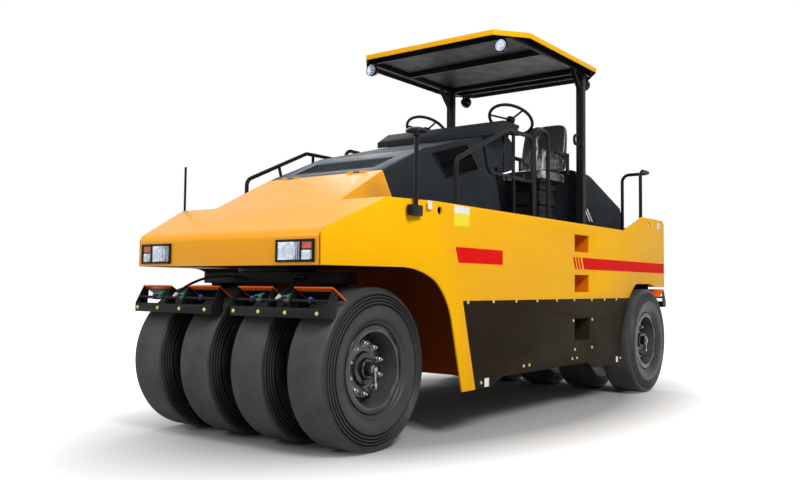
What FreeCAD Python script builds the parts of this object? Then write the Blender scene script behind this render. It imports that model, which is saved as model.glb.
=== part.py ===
"""Pneumatic tyre roller, four steered front tyres and five driven rear tyres.

The frame: +X is the machine's left, -Y its front, +Z up, and the origin lies on the ground below
the middle of the machine. All sketches are drawn from the front axle instead, as a fitter would
measure a roller, and each piece's Placement then moves it to the frame's origin.
"""
import FreeCAD, Part
import Sketcher
import math
import os
from FreeCAD import Placement, Rotation, Vector

DOC = FreeCAD.newDocument("tyre_roller")

# ---------------------------------------------------------------------------------------------
# Driving sizes, in millimetres (angles in degrees). Places along the machine are stations:
# distances behind the front axle, negative ahead of it.
# ---------------------------------------------------------------------------------------------
SIZES = [
    # wheels
    ("tyre_radius", 518, "outer radius of every smooth compactor tyre"),
    ("tyre_width", 318, "section width"),
    ("tyre_pitch", 500, "spacing across the machine, the same front and rear"),
    ("wheelbase", 4085, "front axle to rear axle"),
    ("tread_edge", 262, "width of the flat tread between the shoulder chamfers"),
    ("shoulder_drop", 22, "how far the shoulder chamfer falls from the tread"),
    ("shoulder_tuck", 8, "how far the shoulder's lower edge lies inside the section width"),
    ("tyre_facets", 32, "flats round a tyre"),
    ("rim_flange_radius", 279, "outer radius of the rim flange"),
    ("rim_well_radius", 246, "radius of the rim barrel, outside"),
    ("rim_wall", 10, "thickness of the rim barrel"),
    ("rim_width", 254, "between the outer faces of the flanges"),
    ("flange_width", 18, "axial width of each rim flange"),
    ("disc_wall", 16, "thickness of the wheel disc"),
    ("disc_shift", 62, "from the rim's middle to the disc, towards the carrier"),
    ("hub_radius", 104, "outer radius of the wheel hub"),
    ("hub_length", 150, "length of the wheel hub"),
    ("axle_radius", 46, "radius of the axle shafts"),
    ("running_gap", 0.25, "running clearance round an axle or ring"),
    ("hand_hole_radius", 26, "vent holes in the wheel disc"),
    ("hand_hole_circle", 172, "circle radius of the vent holes"),
    ("hand_hole_count", 8, "number of vent holes"),
    # main outline
    ("nose_reach", 513, "front axle to the fascia's face"),
    ("tail_reach", 650, "rear axle to the tail plate's face"),
    ("body_half", 1093, "half width over the side plates"),
    ("nose_half", 872, "half width of the nose at the fascia"),
    ("taper_end", 360, "station where the nose's plan taper ends"),
    ("side_wall", 14, "thickness of the side plates"),
    ("belt", 1604, "height of the side plates' top edge"),
    ("nose_bottom", 1165, "height of the fascia's lower edge"),
    ("fascia_top", 1372, "height where the fascia turns into the slope"),
    ("fascia_bend", 70, "bend radius between fascia and slope"),
    ("slope_end", -45, "station where the nose slope reaches the belt"),
    ("arch_corner", 466, "station of the arch's virtual corner"),
    ("arch_bend", 500, "radius of the front arch"),
    ("strip_toe_front", 692, "station of the strip's front foot"),
    ("strip_toe_rear", 861, "station of the strip's rear foot"),
    ("strip_head", 693, "station of the strip's rear edge at the skirt's top"),
    ("strip_foot", 328, "height of the strip's foot"),
    ("skirt_top", 947, "height of the skirt's top edge"),
    ("tail_rise_start", 3603, "station where the belt starts to rise"),
    ("tail_rise_end", 4085, "station where the belt ends its rise"),
    ("tail_belt", 1770, "height of the tail's top edge"),
    ("tail_corner", 55, "rounding of the tail's upper corner"),
    ("tail_bottom", 1058, "height of the tail's lower edge"),
    ("rear_arch_front", 3715, "station of the rear arch's front foot"),
    ("rear_arch_in", 3900, "station of the rear arch's front corner"),
    ("rear_arch_out", 4320, "station of the rear arch's rear corner"),
    ("rear_arch_top", 1087, "height of the rear arch"),
    ("rear_arch_bend", 190, "rounding of the rear arch"),
    ("rear_arch_foot", 4460, "station where the rear arch ends"),
    # steps and eyes
    ("step_start", 2480, "front edge of the step holes"),
    ("step_length", 300, "length of the step holes"),
    ("step_gap", 150, "height of the two upper step holes"),
    ("upper_step", 1355, "height of the upper step"),
    ("middle_step", 1005, "height of the middle step"),
    ("lower_step", 588, "height of the lower step"),
    ("lower_gap", 190, "height of the lower step hole"),
    ("step_depth", 150, "depth of the step pockets"),
    ("step_wall", 4, "sheet of the step pockets"),
    ("eye_radius", 28, "lifting eyes in the side plates"),
    ("front_eye", 402, "station of the front lifting eye"),
    ("front_eye_up", 1546, "height of the front lifting eye"),
    ("rear_eye", 4282, "station of the rear lifting eye"),
    ("rear_eye_up", 1701, "height of the rear lifting eye"),
    # hood, lid and cowl
    ("hood_wall", 5, "sheet of hood and cowl"),
    ("hood_half", 606, "half width of the raised hood at the belt"),
    ("cowl_lean", 0.15, "inward lean of hood and cowl sides, per unit of height"),
    ("lid_front", 455, "station of the lid's lower edge"),
    ("lid_front_up", 1862, "height of the lid's lower edge"),
    ("lid_rear", 1005, "station of the lid's upper edge"),
    ("lid_rear_up", 2098, "height of the lid's upper edge"),
    ("lid_wall", 26, "height of the lid's folded edge"),
    ("lid_gap", 4, "gap round the lid"),
    ("seat_gap", 0.3, "gap where separate pieces are seated"),
    ("knuckle_radius", 9, "outer radius of the lid's hinge knuckles"),
    ("hinge_pin_radius", 5, "radius of the lid's hinge pins"),
    ("knuckle_length", 60, "length of a hinge knuckle"),
    ("hinge_x", 330, "lid hinges, from the middle"),
    ("grille_front", 562, "station of the grille's front edge"),
    ("grille_rear", 835, "station of the grille's rear edge"),
    ("grille_half", 400, "half width of the grille"),
    ("slat_wall", 7, "thickness of a grille slat"),
    ("slat_pitch", 30, "spacing of the grille slats"),
    ("split_foot", 560, "station where the hood and cowl part at the belt"),
    ("cowl_rise", 1831, "station of the cowl's upper fold"),
    ("cowl_rise_up", 2311, "height of the cowl's upper fold"),
    ("cowl_rear", 2080, "station of the cowl's rear wall"),
    ("cowl_crest", 61, "rise of the cowl's roof from its upper fold to its rear wall"),
    ("vent_top_front", 1112, "station of the side screen's upper front corner"),
    ("vent_top_front_drop", 235, "drop of that corner below the cowl's upper fold"),
    ("vent_top_rear", 1637, "station of the screen's upper rear corner"),
    ("vent_top_rear_drop", 90, "drop of that corner below the fold"),
    ("vent_low_rear", 1782, "station of the screen's lower rear corner"),
    ("vent_low_rear_drop", 286, "drop of that corner below the fold"),
    ("vent_low_front", 1280, "station of the screen's lower front corner"),
    ("vent_low_front_drop", 417, "drop of that corner below the fold"),
    ("vent_bar", 6, "width of a bar of the side screens"),
    ("vent_pitch", 17, "spacing of those bars"),
    ("console_half", 637, "half width of the dash console"),
    ("console_front", 1905, "station of the console's lower front edge"),
    ("console_lip", 55, "height of the console's front edge above the cowl's roof"),
    ("console_brow", 2064, "station of the console's upper front edge"),
    ("console_rise", 108, "height of the console's top above the cowl's rear edge"),
    ("console_rear", 2330, "station of the console's rear edge"),
    ("console_wall", 30, "depth of the console's folded rear edge"),
    ("panel_half", 235, "half width of the instrument panel on the console"),
    ("panel_depth", 130, "depth of the instrument panel's foot"),
    ("panel_rise", 52, "height of the instrument panel above the console"),
    # frame, engine and ballast
    ("deck_wall", 12, "thickness of the deck plate"),
    ("bulkhead", 1078, "station of the wall behind the front wheels"),
    ("frame_wall", 16, "thickness of the frame plates"),
    ("head_front", 250, "reach of the cross head ahead of the kingpin"),
    ("head_height", 130, "height of the cross head"),
    ("skirt_wall", 8, "thickness of the skirt plates"),
    ("skirt_bottom", 330, "height of the skirt's lower edge"),
    ("skirt_relief", 58, "rise of the skirt's middle stretch"),
    ("skirt_relief_front", 1250, "station where that stretch starts"),
    ("skirt_relief_rear", 2900, "station where that stretch ends"),
    ("skirt_gap", 3, "gap between strip and skirt"),
    ("skirt_rear", 3478, "station of the skirt's rear foot"),
    ("skirt_rear_mid", 3520, "station of the skirt's rear edge at axle height"),
    ("skirt_rear_knee", 42, "height of that place above the axle"),
    ("skirt_rear_high", 3600, "station of the skirt's rear edge above the axle"),
    ("skirt_rear_rise", 242, "height of that place above the axle"),
    ("ballast_rear", 3440, "station of the ballast box's rear wall"),
    ("engine_front", 1150, "station of the engine's front"),
    ("engine_length", 860, "length of the engine block"),
    ("engine_half", 330, "half width of the engine block"),
    ("engine_height", 760, "height of the engine block"),
    ("radiator_front", 640, "station of the radiator's front"),
    ("radiator_depth", 120, "depth of the radiator"),
    ("radiator_half", 390, "half width of the radiator"),
    ("radiator_top", 1870, "height of the radiator's top"),
    # tail
    ("cover_half", 700, "half width of the rear cover"),
    ("cover_front", 3470, "station of the rear cover's front"),
    ("cover_ridge", 3757, "station where the rear cover starts to fall"),
    ("cover_up", 2218, "height of the rear cover"),
    ("cover_knee", 4489, "station of the rear cover's knee"),
    ("cover_knee_up", 1903, "height of the rear cover's knee"),
    ("cover_rear", 4600, "station of the rear cover's rear foot"),
    ("cover_lean", 60, "inward lean of the rear cover's upper sides"),
    ("cover_vent_start", 90, "from the cover's front to its first vent slot"),
    ("cover_vent_pitch", 34, "spacing of the vent slots"),
    ("cover_vent_slot", 14, "width of a vent slot"),
    ("cover_vent_foot", 70, "height of the vent slots above the belt"),
    ("cover_vent_height", 170, "height of the vent slots"),
    ("carrier_wall", 70, "thickness of a rear axle carrier"),
    ("carrier_head_half", 330, "half length of a carrier at the frame"),
    ("carrier_eye", 125, "radius of a carrier's axle eye"),
    # canopy
    ("post_x", 759, "canopy posts, from the middle"),
    ("post_station", 3350, "station of the canopy posts"),
    ("post_size", 70, "section of the canopy posts"),
    ("roof_up", 3195, "height of the canopy's top edge"),
    ("roof_fascia", 46, "height of the canopy's rim"),
    ("roof_wall", 3, "sheet of the canopy"),
    ("roof_half", 890, "half width of the canopy"),
    ("roof_front", 1779, "station of the canopy's front edge"),
    ("roof_rear", 3690, "station of the canopy's rear edge"),
    ("roof_chamfer_x", 209, "width of the canopy's cut corners"),
    ("roof_chamfer_y", 268, "length of the canopy's cut corners"),
    ("roof_tube", 40, "section of the tubes below the canopy"),
    ("grab_up", 2430, "height of the grab loops' lower leg"),
    ("grab_height", 86, "height of the grab loops"),
    ("grab_reach", 150, "reach of the grab loops ahead of the posts"),
    ("brace_drop", 190, "how far the braces reach down the posts"),
    ("brace_reach", 190, "how far the braces reach ahead of the posts"),
    # rails
    ("rail_x", 1050, "guard rails, from the middle"),
    ("rail_radius", 17, "radius of the rail tube"),
    ("rail_bend", 75, "bend radius of the rails"),
    ("rail_front", 662, "station of the guard rail's front leg"),
    ("rail_front_up", 1925, "height of its first bend"),
    ("rail_top_front", 1385, "station where the guard rail levels out"),
    ("rail_up", 2246, "height of the guard rail"),
    ("rail_rear", 1786, "station of the guard rail's rear leg"),
    ("rail_mid_up", 1886, "height of the guard rail's middle tube"),
    ("rail_mid_front", 1100, "station of the middle tube's front bend"),
    ("rail_stanchion", 1472, "station of the guard rail's stanchion"),
    ("hoop_x", 1010, "entry hoop, from the middle"),
    ("hoop_front", 1890, "station of the entry hoop's front leg"),
    ("hoop_rear", 2140, "station of the entry hoop's rear leg"),
    ("hoop_up", 2345, "height of the entry hoop"),
    ("corner_rail_front", 4163, "station of the corner rail's side leg"),
    ("corner_rail_rear", 4440, "station of the corner rail's rear leg"),
    ("corner_rail_in", 745, "rear leg of the corner rail, from the middle"),
    ("corner_rail_up", 2262, "height of the corner rail"),
    # operator's place
    ("seat_x", 430, "seats, from the middle"),
    ("seat_front", 2760, "station of the seat's front"),
    ("seat_depth", 470, "depth of the seat"),
    ("seat_half", 235, "half width of the seat"),
    ("seat_up", 2150, "height of the seat cushion"),
    ("seat_cushion", 120, "thickness of the seat cushion"),
    ("seat_back_up", 2640, "height of the seat's back"),
    ("seat_back_wall", 110, "thickness of the seat's back"),
    ("seat_lean", 70, "how far the seat's back leans"),
    ("seat_round", 70, "rounding of the seat's corners"),
    ("arm_rest", 42, "width of an arm rest"),
    ("arm_length", 300, "length of an arm rest"),
    ("arm_up", 190, "height of the arm rests above the cushion"),
    ("seat_foot_half", 150, "half width of the seat's pedestal"),
    ("wheel_x", 470, "steering wheels, from the middle"),
    ("wheel_station", 2470, "station of a steering wheel's hub"),
    ("wheel_up", 2570, "height of a steering wheel's hub"),
    ("wheel_radius", 215, "radius of a steering wheel"),
    ("wheel_rim", 14, "radius of the steering wheel's rim"),
    ("wheel_tilt", 32, "tilt of the steering wheels from level"),
    ("column_radius", 32, "radius of a steering column"),
    ("column_length", 650, "length of a steering column"),
    # front frame
    ("ring_radius", 270, "radius of the slewing ring"),
    ("ring_height", 34, "height of the slewing ring"),
    ("yoke_half", 620, "half length of the steering yoke"),
    ("yoke_height", 78, "height of the steering yoke"),
    ("yoke_depth", 260, "depth of the steering yoke"),
    ("leg_width", 108, "width of a yoke leg between two tyres"),
    ("leg_depth", 230, "depth of a yoke leg"),
    ("leg_eye", 150, "radius of the leg's rocker eye"),
    # sprinkler trays and scrapers
    ("tray_front", 505, "reach of a tray ahead of its axle"),
    ("tray_depth", 96, "depth of a tray"),
    ("tray_bottom", 848, "height of a tray's floor"),
    ("tray_height", 60, "height of a tray"),
    ("tray_wall", 4, "sheet of the trays"),
    ("cheek_step", 14, "how far a tray's cheeks reach back past its channel"),
    ("pipe_in", 43, "from the tray's face back to the sprinkler pipe"),
    ("pipe_up", 950, "height of the sprinkler pipe"),
    ("pipe_radius", 10, "radius of the sprinkler pipe"),
    ("nozzle_radius", 8, "radius of a nozzle or tap"),
    ("nozzle_length", 36, "length of a nozzle"),
    ("tap_near", 67, "from a nozzle to the first of the two taps beside it"),
    ("tap_far", 310, "from that nozzle to the second tap"),
    ("tap_height", 34, "height of a tap"),
    ("scraper_reach", 440, "reach of a scraper's upper edge from its axle"),
    ("scraper_up", 1035, "height of a scraper's upper edge"),
    ("scraper_foot", 320, "reach of a scraper's lower edge from its axle"),
    ("scraper_foot_up", 952, "height of a scraper's lower edge"),
    ("scraper_wall", 8, "thickness of a scraper"),
    ("arm_width", 60, "width of the arms that hold trays and scrapers"),
    # lamps and small pieces
    ("lamp_in", 508, "headlamp's inner edge, from the middle"),
    ("lamp_out", 826, "headlamp's outer edge, from the middle"),
    ("lamp_bottom", 1182, "height of the headlamp's lower edge"),
    ("lamp_height", 138, "height of the headlamp"),
    ("lamp_rim", 16, "width of the headlamp's rim"),
    ("lamp_split", 715, "between the headlamp's large and small lenses, from the middle"),
    ("lamp_proud", 14, "how far the headlamp stands out"),
    ("work_lamp_x", 700, "work lamps, from the middle"),
    ("work_lamp_radius", 58, "radius of a work lamp"),
    ("work_lamp_depth", 74, "depth of a work lamp"),
    ("mirror_station", 160, "station of the mirror post"),
    ("mirror_post_radius", 15, "radius of the mirror post"),
    ("mirror_up", 2010, "height of the mirror post"),
    ("mirror_radius", 92, "radius of the convex mirror"),
    ("mirror_height", 60, "height of the convex mirror"),
    ("rod_station", -30, "station of the marker rod"),
    ("rod_x", 985, "marker rod, from the middle"),
    ("rod_up", 1945, "height of the marker rod"),
    ("rod_radius", 9, "radius of the marker rod"),
]


class Size:
    """A size that carries both its spreadsheet expression and its value of the moment."""

    def __init__(self, text, value):
        self.text = text
        self.value = float(value)

    @staticmethod
    def of(item):
        return item if isinstance(item, Size) else Size(repr(float(item)), item)

    def _join(self, sign, other, value):
        return Size("(%s %s %s)" % (self.text, sign, Size.of(other).text), value)

    def __add__(self, other):
        return self._join("+", other, self.value + Size.of(other).value)

    def __radd__(self, other):
        return Size.of(other) + self

    def __sub__(self, other):
        return self._join("-", other, self.value - Size.of(other).value)

    def __rsub__(self, other):
        return Size.of(other) - self

    def __mul__(self, other):
        return self._join("*", other, self.value * Size.of(other).value)

    def __rmul__(self, other):
        return Size.of(other) * self

    def __truediv__(self, other):
        return self._join("/", other, self.value / Size.of(other).value)

    def __neg__(self):
        return Size("(0 - %s)" % self.text, -self.value)

    def root(self):
        return Size("sqrt(%s)" % self.text, math.sqrt(self.value))


class Sheet:
    """The spreadsheet of driving sizes, read as attributes."""

    def __init__(self, rows):
        self.cells = DOC.addObject("Spreadsheet::Sheet", "sizes")
        for number, (name, value, note) in enumerate(rows, start=1):
            self.cells.set("A%d" % number, name)
            self.cells.set("B%d" % number, str(value))
            self.cells.set("C%d" % number, note)
            self.cells.setAlias("B%d" % number, name)
        DOC.recompute()
        for name, _value, _note in rows:
            setattr(self, name, Size("sizes.%s" % name, self.cells.get(name)))


D = Sheet(SIZES)
NODES = []

# Places worked out from the driving sizes.
D.cowl_rear_up = D.cowl_rise_up + D.cowl_crest
COWL_PITCH = D.cowl_crest / (D.cowl_rear - D.cowl_rise)
D.console_front_up = D.cowl_rise_up + (D.console_front - D.cowl_rise) * COWL_PITCH + D.console_lip
D.console_up = D.cowl_rear_up + D.console_rise
D.panel_up = D.console_up + D.panel_rise
TAIL = D.wheelbase + D.tail_reach
MIDDLE = (TAIL - D.nose_reach) / 2
TAPER = (D.body_half - D.nose_half) / (D.taper_end + D.nose_reach)


def bind(feature, path, size):
    """Sets a property and ties it to the sheet."""
    feature.setExpression(path, Size.of(size).text)


def place(feature, across=0, along=0, up=0, shift=True):
    """Ties a Placement: across +X, along as a station, and up."""
    station = Size.of(along) - MIDDLE if shift else Size.of(along)
    for axis, size in (("x", across), ("y", station), ("z", up)):
        bind(feature, "Placement.Base.%s" % axis, size)


def node(feature, label):
    """Names a finished sub-part and lists it for the export."""
    feature.Label = label
    NODES.append((label, feature))
    return feature


def moved(feature, label):
    """Finishes a sub-part drawn from the front axle: moves it to the frame's origin."""
    if feature.TypeId in ("Part::Box", "Part::Cylinder"):
        feature = gathered("set_%s" % label, [feature])
    place(feature)
    return node(feature, label)


def mirrored(source, label):
    """The other side's copy of a sub-part."""
    feature = DOC.addObject("Part::Mirroring", "mirror_%s" % label)
    feature.Source = source
    feature.Normal = Vector(1, 0, 0)
    return node(feature, label)


# ---------------------------------------------------------------------------------------------
# Sketches and solids
# ---------------------------------------------------------------------------------------------
PLANES = {"XY": "XY_Plane", "XZ": "XZ_Plane", "YZ": "YZ_Plane"}


def new_sketch(body, plane, start=0):
    """A sketch on one of the body's own origin planes, shifted along that plane's axis."""
    sketch = body.newObject("Sketcher::SketchObject", "outline_%s" % plane)
    role = PLANES[plane]
    support = [item for item in body.Origin.OriginFeatures if item.Role == role][0]
    sketch.AttachmentSupport = [(support, "")]
    sketch.MapMode = "FlatFace"
    offset = -Size.of(start) if plane == "XZ" else Size.of(start)
    bind(sketch, "AttachmentOffset.Base.z", offset)
    return sketch


def tie(sketch, kind, geometry, point, size):
    """Holds a sketch point at a distance from the sketch's origin."""
    size = Size.of(size)
    number = sketch.addConstraint(Sketcher.Constraint(kind, -1, 1, geometry, point, size.value))
    sketch.setExpression("Constraints[%d]" % number, size.text)


def draw(sketch, corners):
    """Draws a closed outline through (across, up) corners; a third number rounds the corner."""
    spots = [Vector(Size.of(c[0]).value, Size.of(c[1]).value, 0) for c in corners]
    count = len(corners)
    ends = []
    for i, corner in enumerate(corners):
        here = spots[i]
        if len(corner) == 2:
            ends.append((here, here, None))
            continue
        back = (spots[i - 1] - here).normalize()
        ahead = (spots[(i + 1) % count] - here).normalize()
        half = back.getAngle(ahead) / 2
        radius = Size.of(corner[2]).value
        reach = radius / math.tan(half)
        middle = here + (back + ahead).normalize() * (radius / math.sin(half))
        ends.append((here + back * reach, here + ahead * reach, middle))
    lines = []
    for i in range(count):
        line = Part.LineSegment(ends[i][1], ends[(i + 1) % count][0])
        lines.append(sketch.addGeometry(line, False))
    for i, corner in enumerate(corners):
        before, after = lines[i - 1], lines[i]
        if ends[i][2] is None:
            sketch.addConstraint(Sketcher.Constraint("Coincident", before, 2, after, 1))
            tie(sketch, "DistanceX", after, 1, corner[0])
            tie(sketch, "DistanceY", after, 1, corner[1])
            continue
        first, last, middle = ends[i]
        turn = (first - middle).cross(last - middle).z
        start, stop = (first, last) if turn > 0 else (last, first)
        angles = [math.atan2(p.y - middle.y, p.x - middle.x) for p in (start, stop)]
        circle = Part.Circle(middle, Vector(0, 0, 1), Size.of(corner[2]).value)
        arc = sketch.addGeometry(Part.ArcOfCircle(circle, angles[0], angles[1]), False)
        enter, leave = (1, 2) if turn > 0 else (2, 1)
        sketch.addConstraint(Sketcher.Constraint("Tangent", before, 2, arc, enter))
        sketch.addConstraint(Sketcher.Constraint("Tangent", arc, leave, after, 1))
        number = sketch.addConstraint(
            Sketcher.Constraint("Radius", arc, Size.of(corner[2]).value))
        sketch.setExpression("Constraints[%d]" % number, Size.of(corner[2]).text)
        point = sketch.addGeometry(Part.Point(spots[i]), True)
        tie(sketch, "DistanceX", point, 1, corner[0])
        tie(sketch, "DistanceY", point, 1, corner[1])
        sketch.addConstraint(Sketcher.Constraint("PointOnObject", point, 1, before))
        sketch.addConstraint(Sketcher.Constraint("PointOnObject", point, 1, after))


def ring(sketch, across, up, radius):
    """Draws a circle."""
    middle = Vector(Size.of(across).value, Size.of(up).value, 0)
    circle = Part.Circle(middle, Vector(0, 0, 1), Size.of(radius).value)
    number = sketch.addGeometry(circle, False)
    tie(sketch, "DistanceX", number, 3, across)
    tie(sketch, "DistanceY", number, 3, up)
    row = sketch.addConstraint(Sketcher.Constraint("Radius", number, Size.of(radius).value))
    sketch.setExpression("Constraints[%d]" % row, Size.of(radius).text)


def rectangle(left, right, bottom, top):
    """Corners of an upright rectangle."""
    return [(left, bottom), (right, bottom), (right, top), (left, top)]


def new_body(name):
    return DOC.addObject("PartDesign::Body", name)


def pad(body, sketch, length):
    """Extrudes a sketch along its plane's axis; from an XZ plane that is towards the front."""
    feature = body.newObject("PartDesign::Pad", "pad")
    feature.Profile = sketch
    bind(feature, "Length", length)
    return feature


def pocket(body, sketch, length, forward=False):
    """Cuts a sketch's outline out of the body, against or along its plane's axis."""
    feature = body.newObject("PartDesign::Pocket", "pocket")
    feature.Profile = sketch
    feature.Reversed = forward
    bind(feature, "Length", length)
    return feature


def prism(name, plane, corners, start, length):
    """A body with one padded outline between start and start + length on the plane's axis."""
    body = new_body(name)
    foot = Size.of(start) + length if plane == "XZ" else start
    sketch = new_sketch(body, plane, foot)
    draw(sketch, corners)
    pad(body, sketch, length)
    return body


def box(name, across, along, up):
    """A box from (low, high) pairs on the three axes."""
    feature = DOC.addObject("Part::Box", name)
    spans = [(Size.of(low), Size.of(high) - low) for low, high in (across, along, up)]
    for axis, path, (low, span) in zip("xyz", ("Length", "Width", "Height"), spans):
        bind(feature, "Placement.Base.%s" % axis, low)
        bind(feature, path, span)
    return feature


def rod(name, axis, across, along, up, radius, length):
    """A cylinder that starts at a point and runs along an axis."""
    feature = DOC.addObject("Part::Cylinder", name)
    turns = {"X": Rotation(Vector(0, 1, 0), 90), "Y": Rotation(Vector(1, 0, 0), -90),
             "Z": Rotation()}
    feature.Placement = Placement(Vector(), turns[axis])
    bind(feature, "Radius", radius)
    bind(feature, "Height", length)
    place(feature, across, along, up, shift=False)
    return feature


def fused(name, pieces):
    """One solid from pieces that meet or overlap."""
    if len(pieces) == 1:
        return pieces[0]
    feature = DOC.addObject("Part::MultiFuse", name)
    feature.Shapes = pieces
    feature.Refine = True
    return feature


def cut(name, base, tools):
    """A solid less others."""
    feature = DOC.addObject("Part::Cut", name)
    feature.Base = base
    feature.Tool = fused("tools_%s" % name, tools)
    feature.Refine = True
    return feature


def common(name, first, second):
    """What two solids share."""
    feature = DOC.addObject("Part::MultiCommon", name)
    feature.Shapes = [first, second]
    feature.Refine = True
    return feature


def gathered(name, pieces):
    """Like pieces that don't touch, as one sub-part."""
    feature = DOC.addObject("Part::Compound", name)
    feature.Links = pieces
    return feature


def tube(name, points, bend, radius):
    """A bent tube: straight runs joined by tangent arcs, swept with a round section."""
    spots = [Vector(*[Size.of(item).value for item in point]) for point in points]
    bend, radius = Size.of(bend).value, Size.of(radius).value
    edges = []
    last = spots[0]
    for i in range(1, len(spots) - 1):
        here = spots[i]
        back = (spots[i - 1] - here).normalize()
        ahead = (spots[i + 1] - here).normalize()
        half = back.getAngle(ahead) / 2
        reach = bend / math.tan(half)
        first, final = here + back * reach, here + ahead * reach
        inward = (back + ahead).normalize()
        crest = here + inward * (bend / math.sin(half) - bend)
        edges.append(Part.LineSegment(last, first).toShape())
        edges.append(Part.Arc(first, crest, final).toShape())
        last = final
    edges.append(Part.LineSegment(last, spots[-1]).toShape())
    path = Part.Wire(edges)
    section = Part.Wire([Part.Circle(spots[0], spots[1] - spots[0], radius).toShape()])
    feature = DOC.addObject("Part::Feature", name)
    feature.Shape = path.makePipeShell([section], True, False)
    return feature


def revolved(name, corners):
    """A body of revolution about the X axis; corners are (along the axis, from the axis)."""
    body = new_body(name)
    sketch = new_sketch(body, "XZ")
    draw(sketch, corners)
    feature = body.newObject("PartDesign::Revolution", "turn")
    feature.Profile = sketch
    feature.ReferenceAxis = (sketch, ["H_Axis"])
    feature.Angle = 360
    return body


# ---------------------------------------------------------------------------------------------
# Wheels
# ---------------------------------------------------------------------------------------------


def flat_turned(name, profile):
    """A turned form with flat sides: one outline of (across, reach), common to a view from each flat."""
    corners = profile + [(across, -reach) for across, reach in reversed(profile)]
    blank = prism(name + "_blank", "XZ", corners, -D.tyre_radius * 1.2, D.tyre_radius * 2.4)
    views = []
    for step in range(int(D.tyre_facets.value) // 2):
        view = gathered(name + "_view", [blank])
        view.Placement = Placement(Vector(), Rotation(Vector(1, 0, 0), 5))
        bind(view, "Placement.Rotation.Angle", Size("(%d * 360 / %s)" % (step, D.tyre_facets.text), 0))
        views.append(view)
    feature = DOC.addObject("Part::MultiCommon", name)
    feature.Shapes = views
    return feature


def tyre_form():
    """A smooth compactor tyre on its axle: flat tread, chamfered shoulders, walls drawn in to the beads."""
    half, flat = D.tyre_width / 2, D.tread_edge / 2
    bead = D.rim_width / 2 - D.flange_width
    shoulder = D.tyre_radius - D.shoulder_drop
    waist = (shoulder + D.rim_flange_radius) / 2
    outside = flat_turned("tyre_outside", [
        (-half, waist), (D.shoulder_tuck - half, shoulder), (-flat, D.tyre_radius),
        (flat, D.tyre_radius), (half - D.shoulder_tuck, shoulder), (half, waist)])
    seat = D.rim_well_radius + D.seat_gap
    hollows = [flat_turned("tyre_bore", [(-half, seat), (half, seat)])]
    beyond = 20
    flare = waist + (waist - D.rim_flange_radius) / (half - bead) * beyond
    for side in (-1, 1):
        edges = [(bead * side, D.rim_flange_radius), ((half + beyond) * side, flare)]
        hollows.append(flat_turned("tyre_dish", edges))
    return cut("tyre", outside, hollows)


TYRE = tyre_form()


def make_tyre(label, across, along):
    """One of the nine tyres, at its place on its axle."""
    tyre = gathered("tyre_%s" % label, [TYRE])
    place(tyre, across, along, D.tyre_radius)
    return node(tyre, label)


def wheel_solid(name, side, fit):
    """Rim, disc with its vent holes, and hub; side is +1 where the dish opens towards +X."""
    half = D.rim_width / 2
    well, inner = D.rim_well_radius, D.rim_well_radius - D.rim_wall
    face = -side * D.disc_shift
    body = revolved(name, [
        (-half, D.rim_flange_radius), (-half, inner), (half, inner), (half, D.rim_flange_radius),
        (half - D.flange_width, D.rim_flange_radius), (half - D.flange_width, well),
        (-half + D.flange_width, well), (-half + D.flange_width, D.rim_flange_radius)])
    disc = new_sketch(body, "YZ", face - D.disc_wall / 2)
    ring(disc, 0, 0, inner + D.rim_wall / 2)
    pad(body, disc, D.disc_wall)
    hole = new_sketch(body, "YZ", face + D.disc_wall)
    ring(hole, 0, D.hand_hole_circle, D.hand_hole_radius)
    vent = pocket(body, hole, D.disc_wall * 2)
    vents = body.newObject("PartDesign::PolarPattern", "vents")
    vents.Originals = [vent]
    axis = [item for item in body.Origin.OriginFeatures if item.Role == "X_Axis"][0]
    vents.Axis = (axis, [""])
    bind(vents, "Occurrences", D.hand_hole_count)
    body.Tip = vents
    hub = new_sketch(body, "YZ", face - D.hub_length / 2)
    ring(hub, 0, 0, D.hub_radius)
    pad(body, hub, D.hub_length)
    bore = new_sketch(body, "YZ", face + D.hub_length)
    ring(bore, 0, 0, D.axle_radius + fit)
    pocket(body, bore, D.hub_length * 2)
    return body


# Front wheels, from the right-hand side (-X) to the left. Each pair shares a rocking axle.
FRONT = [("front_1", -1.5, -1), ("front_2", -0.5, 1), ("front_3", 0.5, -1), ("front_4", 1.5, 1)]
for name, place_in_row, side in FRONT:
    make_tyre("tyre_%s" % name, D.tyre_pitch * place_in_row, 0)
    wheel = wheel_solid("wheel_body", side, D.running_gap)
    place(wheel, D.tyre_pitch * place_in_row, 0, D.tyre_radius)
    node(wheel, "wheel_%s" % name)

# Rear wheels: three on the right-hand shaft, two on the left-hand one.
REAR = [("rear_1", -2, -1), ("rear_2", -1, -1), ("rear_3", 0, -1), ("rear_4", 1, 1), ("rear_5", 2, 1)]
for name, place_in_row, side in REAR:
    make_tyre("tyre_%s" % name, D.tyre_pitch * place_in_row, D.wheelbase)


def rear_set(label, rows, end, length):
    """The wheels of one rear shaft, keyed on it."""
    pieces = [rod("shaft", "X", end, D.wheelbase, D.tyre_radius, D.axle_radius, length)]
    for row, side in rows:
        wheel = wheel_solid("rear_wheel_body", side, 0)
        place(wheel, D.tyre_pitch * row, D.wheelbase, D.tyre_radius, shift=False)
        pieces.append(wheel)
    return moved(fused("set_%s" % label, pieces), label)


SHAFT_END = D.tyre_pitch * 2 + D.rim_width / 2
rear_set("wheels_rear_right", [(-2, -1), (-1, -1), (0, -1)], -SHAFT_END,
         SHAFT_END + D.rim_width / 2)
rear_set("wheels_rear_left", [(1, 1), (2, 1)], D.tyre_pitch / 2 + D.carrier_wall * -0.5,
         SHAFT_END - D.tyre_pitch / 2 + D.carrier_wall * 0.5)

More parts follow.
